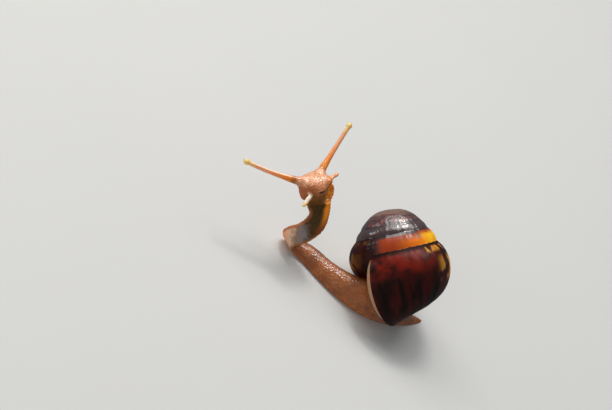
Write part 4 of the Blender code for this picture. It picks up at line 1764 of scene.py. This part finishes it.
@dataclass
class Studio:
    """A plain pale floor, soft lights and the camera at the photograph's angle."""

    lights: tuple[SoftBox, ...] = (
        SoftBox("key", (0.26, 0.92, 0.14), 2.0, 2.8, 1.2, 38.0),
        SoftBox("spark", (0.30, 0.90, 0.12), 2.0, 0.5, 0.32, 12.0),
        SoftBox("rim", (-0.75, 0.62, 0.1), 2.0, 0.6, 0.7, 9.0, (0.95, 0.98, 1.0)),
        SoftBox("fill", (-0.3, 0.0, 0.95), 2.0, 1.5, 1.5, 12.0, glints=False),
    )
    elevation: float = 30.0
    roll: float = 40.0
    pixel: float = 0.5
    photo_width: int = 612
    centre_pixel: tuple[float, float] = (16.0, 36.0)
    distance: float = 0.9
    sensor: float = 36.0
    floor_half: float = 3.0
    floor_colour: Triple = (0.63, 0.63, 0.62)
    floor_shade: float = 0.96
    sky_colour: Triple = (0.80, 0.86, 0.92)
    sky_strength: float = 0.2

    def axes(self) -> tuple[Vector, Vector, Vector]:
        """Gives the picture's right and up, and the way to the camera."""
        tilt, turn = math.radians(self.elevation), math.radians(self.roll)
        right = Vector((1, 0, 0))
        up = Vector((0, math.sin(tilt), math.cos(tilt)))
        to_camera = Vector((0, -math.cos(tilt), math.sin(tilt)))
        picture_right = right * math.cos(turn) + up * math.sin(turn)
        picture_up = up * math.cos(turn) - right * math.sin(turn)
        return picture_right, picture_up, to_camera

    def centre(self) -> Vector:
        """Gives the point in the middle of the picture."""
        right, up, _ = self.axes()
        step = self.pixel * MM
        return right * self.centre_pixel[0] * step + up * self.centre_pixel[1] * step - Vector(ORIGIN * MM)

    def add_camera(self) -> None:
        """Adds the camera, rolled so that the snail stands as in the photograph."""
        right, up, to_camera = self.axes()
        camera = bpy.data.cameras.new("camera")
        camera.sensor_width = self.sensor
        camera.lens = self.sensor * self.distance / (self.photo_width * self.pixel * MM)
        holder = bpy.data.objects.new("camera", camera)
        turned = Matrix((right, up, to_camera)).transposed().to_4x4()
        holder.matrix_world = Matrix.Translation(self.centre() + to_camera * self.distance) @ turned
        bpy.context.scene.collection.objects.link(holder)
        bpy.context.scene.camera = holder

    def add_light(self, box: SoftBox) -> None:
        """Adds a soft light that faces the snail, its width along the picture's.

        Args:
            box: The light's place, size and power.
        """
        axes = self.axes()
        direction = sum((axis * share for axis, share in zip(axes, box.way)), Vector()).normalized()
        light = bpy.data.lights.new(box.name, "AREA")
        light.shape = "RECTANGLE"
        light.size, light.size_y = box.width, box.height
        light.energy = box.power
        light.color = box.colour
        holder = bpy.data.objects.new(box.name, light)
        wide = (axes[0] - axes[0].dot(direction) * direction).normalized()
        turned = Matrix((wide, direction.cross(wide), direction)).transposed().to_4x4()
        holder.matrix_world = Matrix.Translation(self.centre() + direction * box.distance) @ turned
        holder.visible_glossy = box.glints
        bpy.context.scene.collection.objects.link(holder)

    def add_floor(self) -> None:
        """Adds the pale floor, with a faint unevenness of tone."""
        half = self.floor_half / MM
        corners = np.array([(-half, -half, 0), (half, -half, 0), (half, half, 0), (-half, half, 0)])
        floor = add_surface("floor", corners + ORIGIN, [[0, 1, 2, 3]], {})
        dye = Dye("floor")
        tone = dye.noise(dye.place(), 6.0)
        shaded = tuple(self.floor_shade * part for part in self.floor_colour)
        dye.dress(floor, {"Base Color": tone.mix(shaded, self.floor_colour), "Roughness": 0.65})
        floor.visible_glossy = False

    def build(self) -> None:
        """Adds the camera, the floor, the lights and the soft surroundings."""
        self.add_camera()
        self.add_floor()
        for box in self.lights:
            self.add_light(box)
        world = bpy.data.worlds.new("studio")
        world.use_nodes = True
        background = world.node_tree.nodes["Background"]
        background.inputs["Color"].default_value = (*self.sky_colour, 1.0)
        background.inputs["Strength"].default_value = self.sky_strength
        bpy.context.scene.world = world
        bpy.context.scene.view_settings.view_transform = "Standard"


def make_tentacles(head: Head) -> list[Tentacle]:
    """Makes the four tentacles, the two that carry the eyes first.

    Args:
        head: The head whose axes the roots are given in.

    Returns:
        The tentacles.
    """
    ends = (
        ("right", Kind.EYE_STALK, (5.2, 1.6, 0.0), (-41.9, -28.0, 34.8)),
        ("left", Kind.EYE_STALK, (-5.2, 1.6, 0.0), (-14.4, 17.7, 63.6)),
        ("right", Kind.FEELER, (1.9, -1.6, 5.0), (-6.0, -23.6, 33.8)),
        ("left", Kind.FEELER, (-5.0, -0.6, 5.0), (-3.2, -1.5, 48.0)),
    )
    return [Tentacle(side, kind, head.place(root), np.array(tip)) for side, kind, root, tip in ends]


def settle(piece: bpy.types.Object, nodes: list[str]) -> None:
    """Rides a piece on the one body and what it stands for.

    Args:
        piece: The new piece.
        nodes: The solids that it replaces.
    """
    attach(piece, "root")
    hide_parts(*nodes)


def main() -> None:
    """Builds the snail and its studio."""
    logging.basicConfig(level=logging.INFO, format="%(name)s: %(message)s")
    body, head, shell = Body(), Head(), Shell()
    tentacles = make_tentacles(head)
    flesh = [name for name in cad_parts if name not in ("shell", "eye_right", "eye_left")]
    skin = Skin(body, head, tentacles, Mantle(shell)).build()
    SkinFinish().dress(skin)
    settle(skin, flesh)
    whorls = shell.build()
    ShellFinish().dress(whorls)
    settle(whorls, ["shell"])
    for tentacle, looks in zip(tentacles, EYES_LOOK):
        eye = Eye(tentacle, looks).build()
        EyeFinish().dress(eye)
        settle(eye, [f"eye_{tentacle.side}"])
    Studio().build()


if __name__ == "__main__":
    main()
